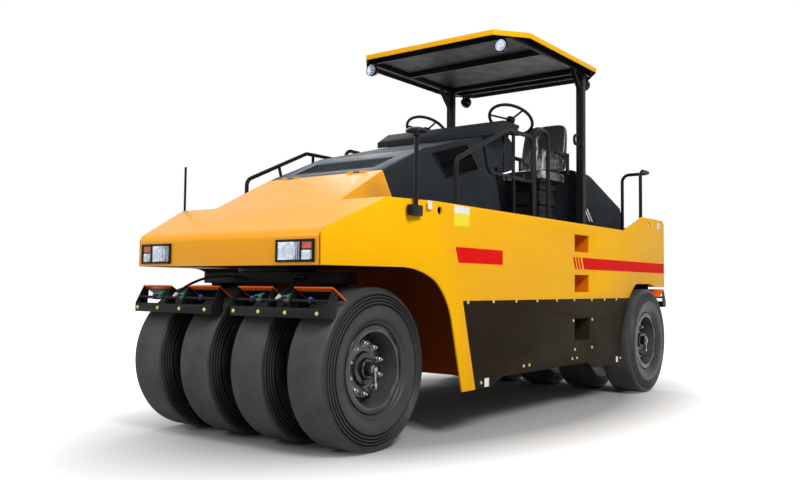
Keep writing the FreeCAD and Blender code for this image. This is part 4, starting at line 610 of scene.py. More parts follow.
# Geometry Nodes
class Tree(Nodes):
    """A Geometry Nodes tree, with named inputs for its sizes."""

    prefix = ""

    def __init__(self, name: str, sizes: dict[str, float]) -> None:
        """Starts a tree with an input for the geometry and for each size.

        Args:
            name: the tree's name.
            sizes: the name and value of each size.
        """
        super().__init__(bpy.data.node_groups.new(name, "GeometryNodeTree"))
        face = self.tree.interface
        face.new_socket("Geometry", in_out="INPUT", socket_type="NodeSocketGeometry")
        for label, value in sizes.items():
            kind = "NodeSocketInt" if isinstance(value, int) else "NodeSocketFloat"
            face.new_socket(label, in_out="INPUT", socket_type=kind).default_value = value
        face.new_socket("Geometry", in_out="OUTPUT", socket_type="NodeSocketGeometry")
        self.source = self.node("NodeGroupInput")

    def run(self, name: str, drawing: Mesh, shape: Socket, finish: Coating) -> Mesh:
        """Ends the tree, applies it and gives the result as a plain mesh.

        Args:
            name: the mesh's name.
            drawing: the points or edges that the tree works on.
            shape: the finished form.
            finish: the form's finish.

        Returns:
            The mesh.
        """
        real = self.node("GeometryNodeRealizeInstances", {0: shape})
        paint = self.node("GeometryNodeSetMaterial", {"Geometry": real.outputs[0],
                                                      "Material": finish.build()})
        self.node("NodeGroupOutput", {0: paint.outputs[0]})
        host = enter(name, drawing)
        modifier = host.modifiers.new(name, "NODES")
        modifier.node_group = self.tree
        graph = bpy.context.evaluated_depsgraph_get()
        mesh = bpy.data.meshes.new_from_object(host.evaluated_get(graph))
        mesh.name = name
        bpy.data.objects.remove(host)
        return mesh


@dataclass(frozen=True)
class Bolts:
    """Hexagon heads on washers, set on points and facing as each point says."""

    head: float = 0.0095
    height: float = 0.0065
    washer: float = 0.0125
    thick: float = 0.002
    finish: Finish = BRASS

    def build(self, name: str, points: Sequence[Point], facings: Sequence[Point],
              body: str = CHASSIS) -> None:
        """Sets the heads as one piece.

        Args:
            name: the piece's name.
            points: where each head sits.
            facings: the way each head points.
            body: the body they ride on.
        """
        tree = Tree("set_bolts", {"Head": self.head, "Height": self.height, "Washer": self.washer})
        given = tree.source.outputs
        hexagon = tree.node("GeometryNodeMeshCylinder", {"Vertices": 6, "Radius": given["Head"],
                                                         "Depth": given["Height"]})
        washer = tree.node("GeometryNodeMeshCylinder", {"Vertices": 16, "Radius": given["Washer"],
                                                        "Depth": self.thick})
        half = tree.node("ShaderNodeMath", {0: given["Height"], 1: 0.5}, operation="MULTIPLY")
        lift = tree.node("ShaderNodeCombineXYZ", {"Z": half.outputs[0]})
        head = tree.node("GeometryNodeTransform", {"Geometry": hexagon.outputs["Mesh"],
                                                   "Translation": lift.outputs[0]})
        both = tree.node("GeometryNodeJoinGeometry", {0: head.outputs[0]})
        tree.tree.links.new(washer.outputs["Mesh"], both.inputs[0])
        read = tree.node("GeometryNodeInputNamedAttribute", {"Name": "facing"},
                         data_type="FLOAT_VECTOR")
        aim = tree.node("FunctionNodeAlignRotationToVector", {"Vector": read.outputs["Attribute"]},
                        axis="Z")
        scatter = tree.node("GeometryNodeInstanceOnPoints", {
            "Points": given["Geometry"], "Instance": both.outputs[0], "Rotation": aim.outputs[0]})
        drawing = bpy.data.meshes.new(name)
        drawing.from_pydata(points, [], [])
        facing = drawing.attributes.new("facing", "FLOAT_VECTOR", "POINT")
        facing.data.foreach_set("vector", [c for item in facings for c in item])
        piece(name, tree.run(name, drawing, scatter.outputs[0], self.finish), [self.finish], body)


@dataclass(frozen=True)
class Wires:
    """Round wires laid along the edges of a line drawing."""

    radius: float = 0.0017
    sides: int = 6
    finish: Finish = DARK_GAP_AND_SHADE

    def build(self, name: str, lines: Sequence[tuple[Point, Point]]) -> None:
        """Lays the wires as one piece, along the ends of each line.

        Args:
            name: the piece's name.
            lines: both ends of each wire.
        """
        tree = Tree("lay_wires", {"Radius": self.radius, "Sides": self.sides})
        given = tree.source.outputs
        curve = tree.node("GeometryNodeMeshToCurve", {0: given["Geometry"]})
        ring = tree.node("GeometryNodeCurvePrimitiveCircle", {"Radius": given["Radius"],
                                                              "Resolution": given["Sides"]})
        sweep = tree.node("GeometryNodeCurveToMesh", {
            "Curve": curve.outputs[0], "Profile Curve": ring.outputs["Curve"], "Fill Caps": True})
        drawing = bpy.data.meshes.new(name)
        ends = [end for line in lines for end in line]
        drawing.from_pydata(ends, [(i, i + 1) for i in range(0, len(ends), 2)], [])
        piece(name, tree.run(name, drawing, sweep.outputs[0], self.finish), [self.finish])


def clipped(outline: Sequence[Pair], start: Pair, way: Pair) -> Optional[tuple[Pair, Pair]]:
    """Cuts an endless line to a convex outline.

    Args:
        outline: the outline's corners.
        start: a point on the line.
        way: its direction.

    Returns:
        Both ends of the part inside, or None.
    """
    hits = []
    for (x0, y0), (x1, y1) in zip(outline, (*outline[1:], outline[0])):
        across = way[0] * (y1 - y0) - way[1] * (x1 - x0)
        if abs(across) < 1e-9:
            continue
        t = ((x0 - start[0]) * (y1 - y0) - (y0 - start[1]) * (x1 - x0)) / across
        u = ((x0 - start[0]) * way[1] - (y0 - start[1]) * way[0]) / across
        if 0 <= u <= 1:
            hits.append(t)
    if len(hits) < 2 or max(hits) - min(hits) < 0.004:
        return None
    return tuple((start[0] + way[0] * t, start[1] + way[1] * t) for t in (min(hits), max(hits)))


# Wheels
@dataclass
class TyreShape:
    """A smooth compactor tyre: wide flat tread, ringed shoulders and soft walls."""

    radius: float = TYRE_RADIUS
    half: float = TYRE_HALF
    bead: float = 0.111
    bead_reach: float = 0.279
    rings: tuple[float, ...] = (0.480, 0.460, 0.440, 0.420)
    valley: float = 0.010
    segments: int = 112

    def side(self) -> list[Pair]:
        """One half of the profile, from the tread's middle to the bead.

        Returns:
            Points of (across, reach).
        """
        points = [(across, self.radius - fall) for across, fall in (
            (0.0, 0.0), (0.06, 0.0002), (0.112, 0.0008), (0.1265, 0.0026), (0.1345, 0.0075),
            (0.1405, 0.0165), (0.1435, 0.0265))]
        for number, reach in enumerate(self.rings):
            out = 0.1446 + number * 0.0032
            points += [(out - 0.0026, reach + 0.0062), (out + 0.0032, reach + 0.0034),
                       (out + 0.0036, reach - 0.0026), (out - 0.0018, reach - 0.0062)]
        return points + [
            (0.1568, 0.4022), (self.half - 0.0004, 0.386), (0.1575, 0.366), (0.1535, 0.343),
            (0.1475, 0.324), (0.1440, 0.318), (0.1425, 0.3145), (0.1385, 0.3120), (0.1335, 0.303),
            (0.1285, 0.293), (0.1225, 0.285), (self.bead, self.bead_reach - 0.001)]

    def add(self, form: Form, across: float, along: float) -> None:
        """Adds one tyre at a place on its axle.

        Args:
            form: the working mesh, with tread, wall and the grooves' painted shade as finishes 0 to
                2.
            across: the tyre's middle along X.
            along: its axle along Y.
        """
        side = self.side()
        profile = [(-x, r) for x, r in reversed(side)] + side[1:]
        profile += [(self.bead - 0.002, 0.25), (-self.bead + 0.002, 0.25)]
        tread = {i for i, (x, r) in enumerate(profile) if abs(x) < 0.1275 and r > 0.5}
        middles = [(low[1] + high[1]) / 2 for low, high in zip(profile, profile[1:])]
        # the valleys between the rings take finish 2, a painted shade
        valleys = {i for i, middle in enumerate(middles)
                   if any(abs(reach - self.valley - middle) < 0.002 for reach in self.rings)}
        tints = [2 if strip in valleys else 0 if strip in tread or strip + 1 in tread else 1
                 for strip in range(len(profile))]
        add_lathe(form, profile, Matrix.Translation((across, along, self.radius)), self.segments,
                  tints, closed=True)


@dataclass
class WheelHardware:
    """What sits in the dish: a hub flange, nuts on studs, a bearing cap and the valve pipe."""

    side: float
    collar: float = 0.104
    flange: float = 0.182
    inner: float = 0.016
    outer: float = 0.034
    nut_circle: float = 0.160
    nuts: int = 10
    pipe: float = 0.0085
    joint: float = 0.0125
    shaft_end: float = 0.114

    def add(self, form: Form, across: float, along: float) -> None:
        """Adds the hardware of one wheel.

        Args:
            form: the working mesh, with steel as finish 0 and black as finish 1.
            across: the wheel's middle along X.
            along: its axle along Y.
        """
        base = (Matrix.Translation((across, along, TYRE_RADIUS))
                @ Matrix.Diagonal((self.side, 1, 1, 1)))
        out, cap = self.outer, self.shaft_end
        add_lathe(form, [(0.008, self.collar), (self.inner, self.collar + 0.004),
                         (self.inner + 0.002, self.flange), (out - 0.003, self.flange),
                         (out, self.flange - 0.003), (out, 0.112), (out + 0.018, 0.100),
                         (out + 0.022, 0.072), (out + 0.044, 0.066), (out + 0.050, 0.058),
                         (out + 0.051, 0.0)], base, 56, 1)
        for number in range(self.nuts):
            angle = math.tau * (number / self.nuts + 0.25)
            turn = base @ Matrix.Translation((out, self.nut_circle * math.cos(angle),
                                              self.nut_circle * math.sin(angle)))
            add_lathe(form, [(0, 0), (0, 0.021), (0.003, 0.021), (0.004, 0.0165), (0.020, 0.0165),
                             (0.0235, 0.0125), (0.0235, 0.009), (0.034, 0.009), (0.036, 0.006),
                             (0.036, 0)], turn, 12)
        add_lathe(form, [(cap, 0.0), (cap, 0.024), (cap + 0.004, 0.024), (cap + 0.006, 0.016),
                         (cap + 0.026, 0.015), (cap + 0.028, 0.0)], base, 24)
        elbow = base @ Vector((cap + 0.016, -0.004, 0))
        low = base @ Vector((cap - 0.002, 0.030, -0.100))
        foot = base @ Vector((out + 0.010, 0.066, -0.172))
        rise = Vector((0, 0, 0.012))
        for start, end in ((elbow, low), (low, foot)):
            add_bar(form, start, end, self.pipe)
        for joint in (elbow, low):
            add_bar(form, joint - rise, joint + rise, self.joint)


@dataclass
class RunningGear:
    """All nine wheels: lofted tyres, dished rims and their hardware."""

    barrel: float = 0.2
    shape: TyreShape = field(default_factory=TyreShape)
    front: tuple[Pair, ...] = ((-1.5, -1), (-0.5, 1), (0.5, -1), (1.5, 1))
    rear: tuple[tuple[str, tuple[int, ...], tuple[int, ...], int], ...] = (
        ("right", (1, 2, 3), (-2, -1, 0), -1), ("left", (4, 5), (1, 2), 1))

    def barrel_tint(self, face: Face, along: float) -> int:
        """Gives 1 to the inside of a rim's barrel, which takes the painted reflection finish.

        Args:
            face: a face of the wheel.
            along: the axle's place along Y.

        Returns:
            The face's material index.
        """
        spoke = face.calc_center_median() - Vector((0, along, self.shape.radius))
        spoke.x = 0.0
        return int(spoke.length > self.barrel and face.normal.dot(spoke.normalized()) < -0.4)

    def wheel_set(self, name: str, body: str, rows: Sequence[float], along: float, side: float,
                  tyres: Sequence[str], rims: str) -> None:
        """Builds the tyres, rims and hardware that turn together.

        Args:
            name: the set's name.
            body: the body it rides on.
            rows: places along the axle, in tyre pitches.
            along: the axle's place along Y.
            side: +1 where the dish opens to the left.
            tyres: the tyre nodes it stands for.
            rims: the wheel node it dresses.
        """
        rubber, steel = bmesh.new(), bmesh.new()
        for row in rows:
            self.shape.add(rubber, row * PITCH, along)
            WheelHardware(side).add(steel, row * PITCH, along)
        piece("tyres_" + name, rubber, [TREAD, WALL, GROOVE_SHADE], body, tyres, 40)
        softened(rims, [RIM_BLACK, RIM_BARREL_SHEEN], body, 0.0035, 40,
                 tint=lambda face: self.barrel_tint(face, along))
        piece("wheel_nuts_" + name, steel, [STEEL, RIM_BLACK], body)

    def build(self) -> None:
        """Builds the front wheels one by one and the rear ones in their two sets."""
        for number, (row, side) in enumerate(self.front, start=1):
            name = "front_%d" % number
            self.wheel_set(name, "front_wheel_%d" % number, [row], AXLE, side, ["tyre_" + name],
                           "wheel_" + name)
        for name, numbers, rows, side in self.rear:
            self.wheel_set("rear_" + name, "rear_wheel_set_" + name, rows, REAR_AXLE, side,
                           ["tyre_rear_%d" % number for number in numbers], "wheels_rear_" + name)


# Bodywork
@dataclass
class Bodywork:
    """Sheet metal: plates, hood, cowl, covers, canopy and frame, with rounded folds."""

    roof_middle: Point = (0.0, 0.6235, 3.17)
    hood_lip: float = 1.17
    grille: float = 0.402
    frame_front: float = station(1.07)

    def roof_tint(self, face: Face) -> int:
        """Gives 1 to the canopy's inner faces, which are black.

        Args:
            face: a face of the roof.

        Returns:
            The face's material index.
        """
        out = face.calc_center_median() - Vector(self.roof_middle)
        if abs(face.normal.z) > 0.3:
            return int(face.normal.z < 0)
        return int(face.normal.x * out.x + face.normal.y * out.y < 0)

    def frame_tint(self, face: Face) -> int:
        """Gives 1 to the frame behind the front wheels, which has the body's colour, darkened here
        as painted shade.
        """
        return int(face.calc_center_median().y > self.frame_front)

    def plate_tint(self, face: Face) -> int:
        """Gives 1 to a side plate's inner faces, which take the painted shade finish."""
        return int(face.normal.x * face.calc_center_median().x < -0.3)

    def hood_tint(self, face: Face) -> int:
        """Gives 1 to the hood's underside, which takes the painted shade finish."""
        return int(face.normal.z < -0.2 and face.calc_center_median().z > self.hood_lip)

    def slat_tint(self, face: Face) -> int:
        """Gives 1 to the upright sides of the lid's slats, painted dark as the shade they lie in."""
        return int(abs(face.normal.x) > 0.6 and abs(face.calc_center_median().x) < self.grille)

    def build(self) -> None:
        """Dresses every sheet-metal node."""
        for side in ("left", "right"):
            softened("side_plate_" + side, [YELLOW, CHASSIS_SHADE_ORANGE], round_off=0.002,
                     tint=self.plate_tint)
            softened("skirt_" + side, [SKIRT_BLACK], round_off=0.0015)
            softened("guard_rail_" + side, [FRAME_BLACK], angle=50)
        softened("nose_hood", [HOOD_SHADED_YELLOW, CHASSIS_SHADE_ORANGE], round_off=0.0025, angle=12, steps=3,
                 tint=self.hood_tint)
        softened("tail_plate", [YELLOW], round_off=0.002)
        softened("canopy_roof", [YELLOW, FRAME_BLACK], round_off=0.004, tint=self.roof_tint)
        softened("cowl_shell", [COWL_GREY], round_off=0.0045, angle=10, steps=3)
        softened("dash_console", [COWL_GREY], round_off=0.008, steps=3)
        softened("rear_cover", [COWL_GREY], round_off=0.006, steps=3)
        softened("grille_lid", [LID_GREY, DARK_GAP_AND_SHADE], "engine_lid", 0.001, tint=self.slat_tint)
        softened("main_frame", [FRAME_BLACK, CHASSIS_SHADE_ORANGE], round_off=0.002, tint=self.frame_tint)
        softened("corner_rail_left", [FRAME_BLACK], angle=50)
        for node, finish, edge in (
                ("step_boxes", STEP_WELL_SHADE, 0.001), ("ballast_box", SKIRT_BLACK, 0.002),
                ("operator_deck", FRAME_BLACK, 0.001), ("canopy_frame", FRAME_BLACK, 0.004),
                ("engine_block", CASTING, 0.01), ("radiator", FINS, 0.003),
                ("rear_carriers", FRAME_BLACK, 0.004), ("rear_tray", FRAME_BLACK, 0.001),
                ("rear_scrapers", ORANGE, 0.001), ("steering_columns", GRIP, 0.002),
                ("marker_rod", FRAME_BLACK, 0.001)):
            softened(node, [finish], round_off=edge)
        for node, finish, edge in (
                ("steer_yoke", FRAME_BLACK, 0.004), ("front_axles", FRAME_BLACK, 0.002),
                ("front_trays", FRAME_BLACK, 0.001), ("front_scrapers", ORANGE, 0.001)):
            softened(node, [finish], STEERING, edge)


@dataclass
class Markings:
    """Bare stripes, a plain patch and blank labels, as films on the side plates."""

    film: float = 0.0007
    proud: float = 0.00015
    stripe: Pair = (1.205, 1.307)
    stripe_run: Pair = (2.63, 4.724)
    patch: tuple[float, ...] = (0.594, 1.236, 1.207, 1.314)
    slant: float = 0.42
    chevrons: int = 3
    chevron: Pair = (0.058, 0.036)
    label: tuple[float, ...] = (0.575, 0.77)
    plates: tuple[tuple[float, ...], ...] = (
        (4.52, 4.60, 1.675, 1.735), (0.982, 1.043, 0.335, 0.396), (0.262, 0.311, 1.545, 1.602),
        (3.383, 3.430, 0.345, 0.398))

    def flat(self, form: Form, side: Side, corners: Sequence[Pair], tint: int = 0) -> None:
        """Adds one film from its (station, height) corners."""
        x = side.value * (BODY_HALF + self.proud)
        add_slab(form, [(x, station(y), z) for y, z in corners],
                 (side.value * self.film, 0, 0), tint)

    def build(self) -> None:
        """Lays the films on both sides, and the small plates on the left."""
        form = bmesh.new()
        low, high = self.stripe
        lean = (high - low) * self.slant
        start, end = self.stripe_run
        step, width = self.chevron
        y0, y1, z0, z1 = self.patch
        a, b = self.label
        for side in Side:
            self.flat(form, side, [(start, high), (start + lean, low), (end, low), (end, high)])
            for number in range(self.chevrons, 0, -1):
                first = start - step * number - 0.012
                self.flat(form, side, [(first, high), (first + lean, low),
                                       (first + lean + width, low), (first + width, high)])
            self.flat(form, side, [(y0, z1), (y0 + lean * 0.9, z0), (y1, z0), (y1, z1)])
            self.flat(form, side, [(a, 1.595), (a, 1.545), (b, 1.545), (b, 1.595)], 1)
            self.flat(form, side, [(a, 1.545), (a, 1.459), (b, 1.459), (b, 1.545)], 2)
        for y0, y1, z0, z1 in self.plates:
            self.flat(form, Side.LEFT, [(y0, z1), (y0, z0), (y1, z0), (y1, z1)], 1)
        piece("side_films", form, [DECAL_RED, PLATE_WHITE, PLATE_YELLOW])


@dataclass
class PlateHardware:
    """Bolts along the skirts and round their step holes."""

    proud: float = 0.0005
    spots: tuple[Pair, ...] = (
        (0.755, 0.937), (1.103, 0.938), (1.442, 0.938), (1.785, 0.938), (2.130, 0.938),
        (2.467, 0.938), (2.829, 0.938), (3.114, 0.938), (3.393, 0.938), (2.448, 0.762),
        (2.836, 0.762), (2.476, 0.516), (2.832, 0.516), (2.422, 0.442), (2.518, 0.442),
        (1.561, 0.442), (1.652, 0.442), (0.934, 0.370), (3.480, 0.380))

    def build(self) -> None:
        """Sets the bolts on both skirts."""
        places = [(side.value, y, z) for side in Side for y, z in self.spots]
        Bolts().build("skirt_bolts",
                      [(way * (BODY_HALF + self.proud), station(y), z) for way, y, z in places],
                      [(way, 0, 0) for way, _y, _z in places])


@dataclass
class CowlScreens:
    """Woven wire laid over the cowl's slotted side openings, in a folded frame."""

    outline: tuple[Pair, ...] = ((1.112, 2.076), (1.637, 2.221), (1.782, 2.025), (1.280, 1.894))
    middle: Pair = (1.45, 2.06)
    half: float = 0.606
    base: float = 1.604
    pitch: float = 0.014
    rows: int = 80
    lean: float = 0.15
    edge: float = 0.006
    weave: tuple[Pair, ...] = ((1.0, 0.28), (0.62, -0.84))

    def surface(self, spot: Pair, proud: float, side: Side) -> Point:
        """Gives the place on the cowl's side at a (station, height)."""
        y, z = spot
        return (side.value * (self.half - self.lean * (z - self.base) + proud), station(y), z)

    def build(self) -> None:
        """Builds each side's folded frame and wires."""
        lines = []
        rim = bmesh.new()
        for side in Side:
            for start, end in zip(self.outline, self.outline[1:] + self.outline[:1]):
                add_bar(rim, self.surface(start, 0.003, side), self.surface(end, 0.003, side),
                        self.edge, 8)
            for way in self.weave:
                for step in range(-self.rows, self.rows):
                    shift = step * self.pitch
                    start = (self.middle[0] - way[1] * shift, self.middle[1] + way[0] * shift)
                    wire = clipped(self.outline, start, way)
                    if wire:
                        lines.append(tuple(self.surface(spot, 0.002, side) for spot in wire))
        piece("screen_frames", rim, [FRAME_BLACK])
        Wires().build("screen_wires", lines)


@dataclass
class Footwell:
    """Folded sheets that close the console's underside, the columns and the cowl's rear corners."""

    half: float = 0.604
    wall: float = 0.004
    rear: float = -0.035
    base: float = 1.6055
    under: float = 2.345
    inset: float = 0.11
    lean: float = 0.19
    shroud: Pair = (2.060, 0.205)
    columns: float = 0.325

    def build(self) -> None:
        """Builds the corner panels, the columns' shroud and the bulkhead."""
        form, mat = bmesh.new(), bmesh.new()
        for side in Side:
            outer, top = side.value * self.half, side.value * (self.half - self.inset)
            add_slab(form, [(outer, self.rear - 0.012, self.base), (outer, self.rear, self.base),
                            (top, self.rear, self.under), (top, self.rear - self.lean, self.under)],
                     (-side.value * self.wall, 0, 0))
        low, rear = self.shroud
        add_block(form, (-0.49, self.rear - 0.10, low), (0.49, rear, self.under + 0.06), 0.012)
        top, heel = self.under + 0.085, self.columns
        add_slab(form, [(-0.5, rear - 0.02, low), (-0.5, heel, low + 0.04),
                        (-0.5, heel, top - 0.075), (-0.5, rear - 0.02, top)], (1.0, 0, 0))
        add_block(mat, (-0.56, self.rear - 0.005, self.base), (0.56, self.rear, low + 0.02))
        piece("console_footwell", form, [COWL_GREY])
        piece("footwell_bulkhead", mat, [DARK_GAP_AND_SHADE])


@dataclass
class RearFittings:
    """A rubber flap over the rear tyres, and two pale strips on the rear cover's sides."""

    flap: tuple[Point, Point] = ((-1.04, 2.276, 0.968), (1.04, 2.284, 1.150))
    cover_half: float = 0.7003
    strips: Pair = (1.440, 1.500)
    strip: float = 0.026
    top: float = 1.835
    foot: float = 1.715
    slide: float = 0.125
    film: float = 0.0006

    def build(self) -> None:
        """Builds the flap and the strips."""
        rubber, film = bmesh.new(), bmesh.new()
        add_block(rubber, *self.flap, 0.001)
        for side in Side:
            x = side.value * self.cover_half
            for start in self.strips:
                add_slab(film, [(x, start, self.top), (x, start + self.slide, self.foot),
                                (x, start + self.slide + self.strip, self.foot),
                                (x, start + self.strip, self.top)], (side.value * self.film, 0, 0))
        piece("rear_flap", rubber, [HOSE])
        piece("cover_strips", film, [PLATE_WHITE])


@dataclass
class ScraperFacings:
    """Black rubber facings clamped on the scraper blades, inside an orange rim."""

    reach: Pair = (0.440, 0.320)
    height: Pair = (1.027, 0.952)
    lip: float = 0.26
    rim: float = 0.015
    thick: float = 0.0025
    sunk: float = 0.2

    def build(self) -> None:
        """Builds the front and rear facings."""
        for name, body, axle, way, rows in (
                ("front", STEERING, AXLE, -1, (-1.5, -0.5, 0.5, 1.5)),
                ("rear", CHASSIS, REAR_AXLE, 1, (-2, -1, 0, 1, 2))):
            form = bmesh.new()
            top, foot = (Vector((0, axle + way * reach, height))
                         for reach, height in zip(self.reach, self.height))
            start = top + (foot - top) * self.lip
            out = Vector((0, way * (top.z - foot.z), -abs(top.y - foot.y))).normalized() * self.thick
            width = Vector((TYRE_HALF - self.rim, 0, 0))
            for row in rows:
                middle = Vector((row * PITCH, 0, 0)) - out * self.sunk
                add_slab(form, [middle - width + start, middle + width + start,
                                middle + width + foot, middle - width + foot],
                         out * (1 + self.sunk))
            piece("scraper_facings_" + name, form, [HOSE], body)


@dataclass
class PanelGaps:
    """Dark joints beside the nose's fascia, laid as hairlines."""

    width: float = 0.0022
    proud: float = 0.0004
    face: float = station(-0.513)
    fascia_half: float = 0.862
    fascia: Pair = (1.168, 1.352)

    def build(self) -> None:
        """Lays one joint on each side of the fascia."""
        form = bmesh.new()
        for side in Side:
            x = side.value * self.fascia_half
            add_block(form, (x - self.width / 2, self.face - self.proud, self.fascia[0]),
                      (x + self.width / 2, self.face + 0.001, self.fascia[1]))
        piece("panel_gaps", form, [DARK_GAP_AND_SHADE])


# Sprinkling
@dataclass
class Tray:
    """One sprinkler pipe: the body and axle it serves, its tyres and its tray's bolts."""

    body: str
    axle: float
    inward: float
    tyres: tuple[float, ...]
    bolts: tuple[float, ...]

    def out(self, reach: float) -> float:
        """Gives the place along Y that far outside the axle."""
        return self.axle - self.inward * reach


@dataclass
class Sprinklers:
    """Nozzles, taps, clips, hoses and bolts on the sprinkler trays."""

    height: float = 0.950
    reach: float = 0.462
    face: float = 0.5055
    bolt_height: float = 0.878
    taps: Pair = (0.067, 0.310)
    clip: float = 0.150
    hose_shift: float = 0.211
    hose: float = 0.018
    fitting: float = 0.012
    ends: Pair = (-0.16, 0.30)
    sets: tuple[Tray, ...] = (
        Tray(STEERING, AXLE, 1.0, (-0.75, -0.25), (-0.880, -0.654, -0.420, -0.160)),
        Tray(STEERING, AXLE, 1.0, (0.25, 0.75), (0.122, 0.348, 0.580, 0.842)),
        Tray(CHASSIS, REAR_AXLE, -1.0, (-1.0, -0.5, 0.0, 0.5, 1.0),
             (-1.1, -0.75, -0.25, 0.25, 0.75, 1.1)))

    def nozzle(self, black: Form, bright: Form, x: float, tray: Tray) -> None:
        """Adds a nozzle's body, nut and blue cap.

        Args:
            black: the working mesh of black parts.
            bright: the working mesh of coloured parts, blue first.
            x: the tyre's middle.
            tray: the pipe it sits on.
        """
        spot = (x, tray.out(self.reach), self.height)
        upright = turned(spot, -90, "Y")
        add_lathe(black, [(0.006, 0), (0.006, 0.013), (0.012, 0.017), (0.030, 0.018), (0.034, 0.014),
                          (0.040, 0.012), (0.040, 0)], turned(spot, 90 * tray.inward, "Z"), 24)
        add_lathe(black, [(-0.014, 0), (-0.014, 0.013), (0.008, 0.015), (0.011, 0.012), (0.011, 0)],
                  upright, 20)
        add_lathe(bright, [(0.011, 0), (0.011, 0.0135), (0.020, 0.0135), (0.024, 0.010), (0.025, 0)],
                  upright, 20)

    def tap(self, black: Form, bright: Form, x: float, tray: Tray) -> None:
        """Adds a tap: a barrel on the pipe and a green lever across it.

        Args:
            black: the working mesh of black parts, with cast metal as finish 1.
            bright: the working mesh of coloured parts, with green as finish 1.
            x: the tap's middle.
            tray: the pipe it sits on.
        """
        y = tray.out(self.reach)
        add_lathe(black, [(0, 0), (0, 0.014), (0.006, 0.016), (0.038, 0.016), (0.044, 0.014),
                          (0.044, 0)], Matrix.Translation((x - 0.022, y, self.height)), 20, 1)
        turn = turned((x, y, self.height + 0.034), 38, "Z") @ turned((0, 0, 0), -14, "Y")
        add_block(bright, (-0.034, -0.008, -0.005), (0.030, 0.008, 0.004), 0.003, 1, turn)
        add_block(bright, (-0.012, -0.011, -0.018), (0.012, 0.011, 0.002), 0.003, 1, turn)

    def hose_line(self, name: str, route: Sequence[Point]) -> None:
        """Lays one supply hose from its fitting to the yoke.

        Args:
            name: the hose's name.
            route: its control points.
        """
        data = bpy.data.curves.new(name, "CURVE")
        data.dimensions = "3D"
        spline = data.splines.new("NURBS")
        spline.points.add(len(route) - 1)
        for point, place in zip(spline.points, route):
            point.co = (*place, 1.0)
        spline.order_u = 3
        spline.use_endpoint_u = True
        spline.resolution_u = 24
        data.bevel_depth = self.hose / 2
        data.bevel_resolution = 6
        data.use_fill_caps = True
        data.materials.append(HOSE.build())
        made = enter(name, data)
        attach(made, "front_steering")
        self.run(data)
        LOG.info("%s: hose of %d points", name, len(route))

    @staticmethod
    def run(data: bpy.types.Curve) -> float:
        """Measures a hose's middle line.

        Args:
            data: the hose's curve.

        Returns:
            Its length.
        """
        bare = data.copy()
        bare.bevel_depth = 0
        host = bpy.data.objects.new("measured", bare)
        mesh = bpy.data.meshes.new_from_object(host)
        points = [vert.co.copy() for vert in mesh.vertices]
        bpy.data.objects.remove(host)
        bpy.data.meshes.remove(mesh)
        return sum((b - a).length for a, b in zip(points, points[1:]))

    def build(self) -> None:
        """Dresses all three pipes, and hangs a hose on each of the front ones."""
        for body, name in ((STEERING, "front"), (CHASSIS, "rear")):
            black, bright = bmesh.new(), bmesh.new()
            heads, facings = [], []
            for tray in (item for item in self.sets if item.body == body):
                for x in tray.tyres:
                    self.nozzle(black, bright, x, tray)
                for x in tray.tyres[:-1:2]:
                    for shift in self.taps:
                        self.tap(black, bright, x + shift, tray)
                    clip = Matrix.Translation((x + self.clip, tray.out(self.reach), self.height))
                    add_lathe(black, [(0, 0), (0, 0.0135), (0.014, 0.0135), (0.014, 0)], clip, 18, 1)
                heads += [(x, tray.out(self.face), self.bolt_height) for x in tray.bolts]
                facings += [(0, -tray.inward, 0)] * len(tray.bolts)
            piece("nozzle_bodies_" + name, black, [HOSE, CASTING], body)
            piece("nozzle_caps_" + name, bright, [NOZZLE_BLUE, TAP_GREEN], body)
            Bolts().build("tray_bolts_" + name, heads, facings, body)
        for number, (tray, far) in enumerate(zip(self.sets, self.ends), start=1):
            x, y = tray.tyres[0] + self.hose_shift, tray.out(self.reach)
            start = Vector((x, y, self.height + 0.004))
            way = Vector((0.017, 0.022, 0.028))
            end = start + way
            form = bmesh.new()
            add_bar(form, start, end, self.fitting, 20)
            add_bar(form, start + way * 0.55, start + way * 0.8, self.fitting + 0.0035, 20)
            piece("hose_end_%d" % number, form, [FITTING_WHITE], STEERING)
            self.hose_line("supply_hose_%d" % number, [
                tuple(end - way * 0.35), tuple(end + way * 1.6), (x + 0.085, y + 0.20, 1.090),
                ((x + far) / 2, y + 0.27, 1.104), (far, y + 0.31, 1.09),
                (far + 0.01, y + 0.36, 1.06)])


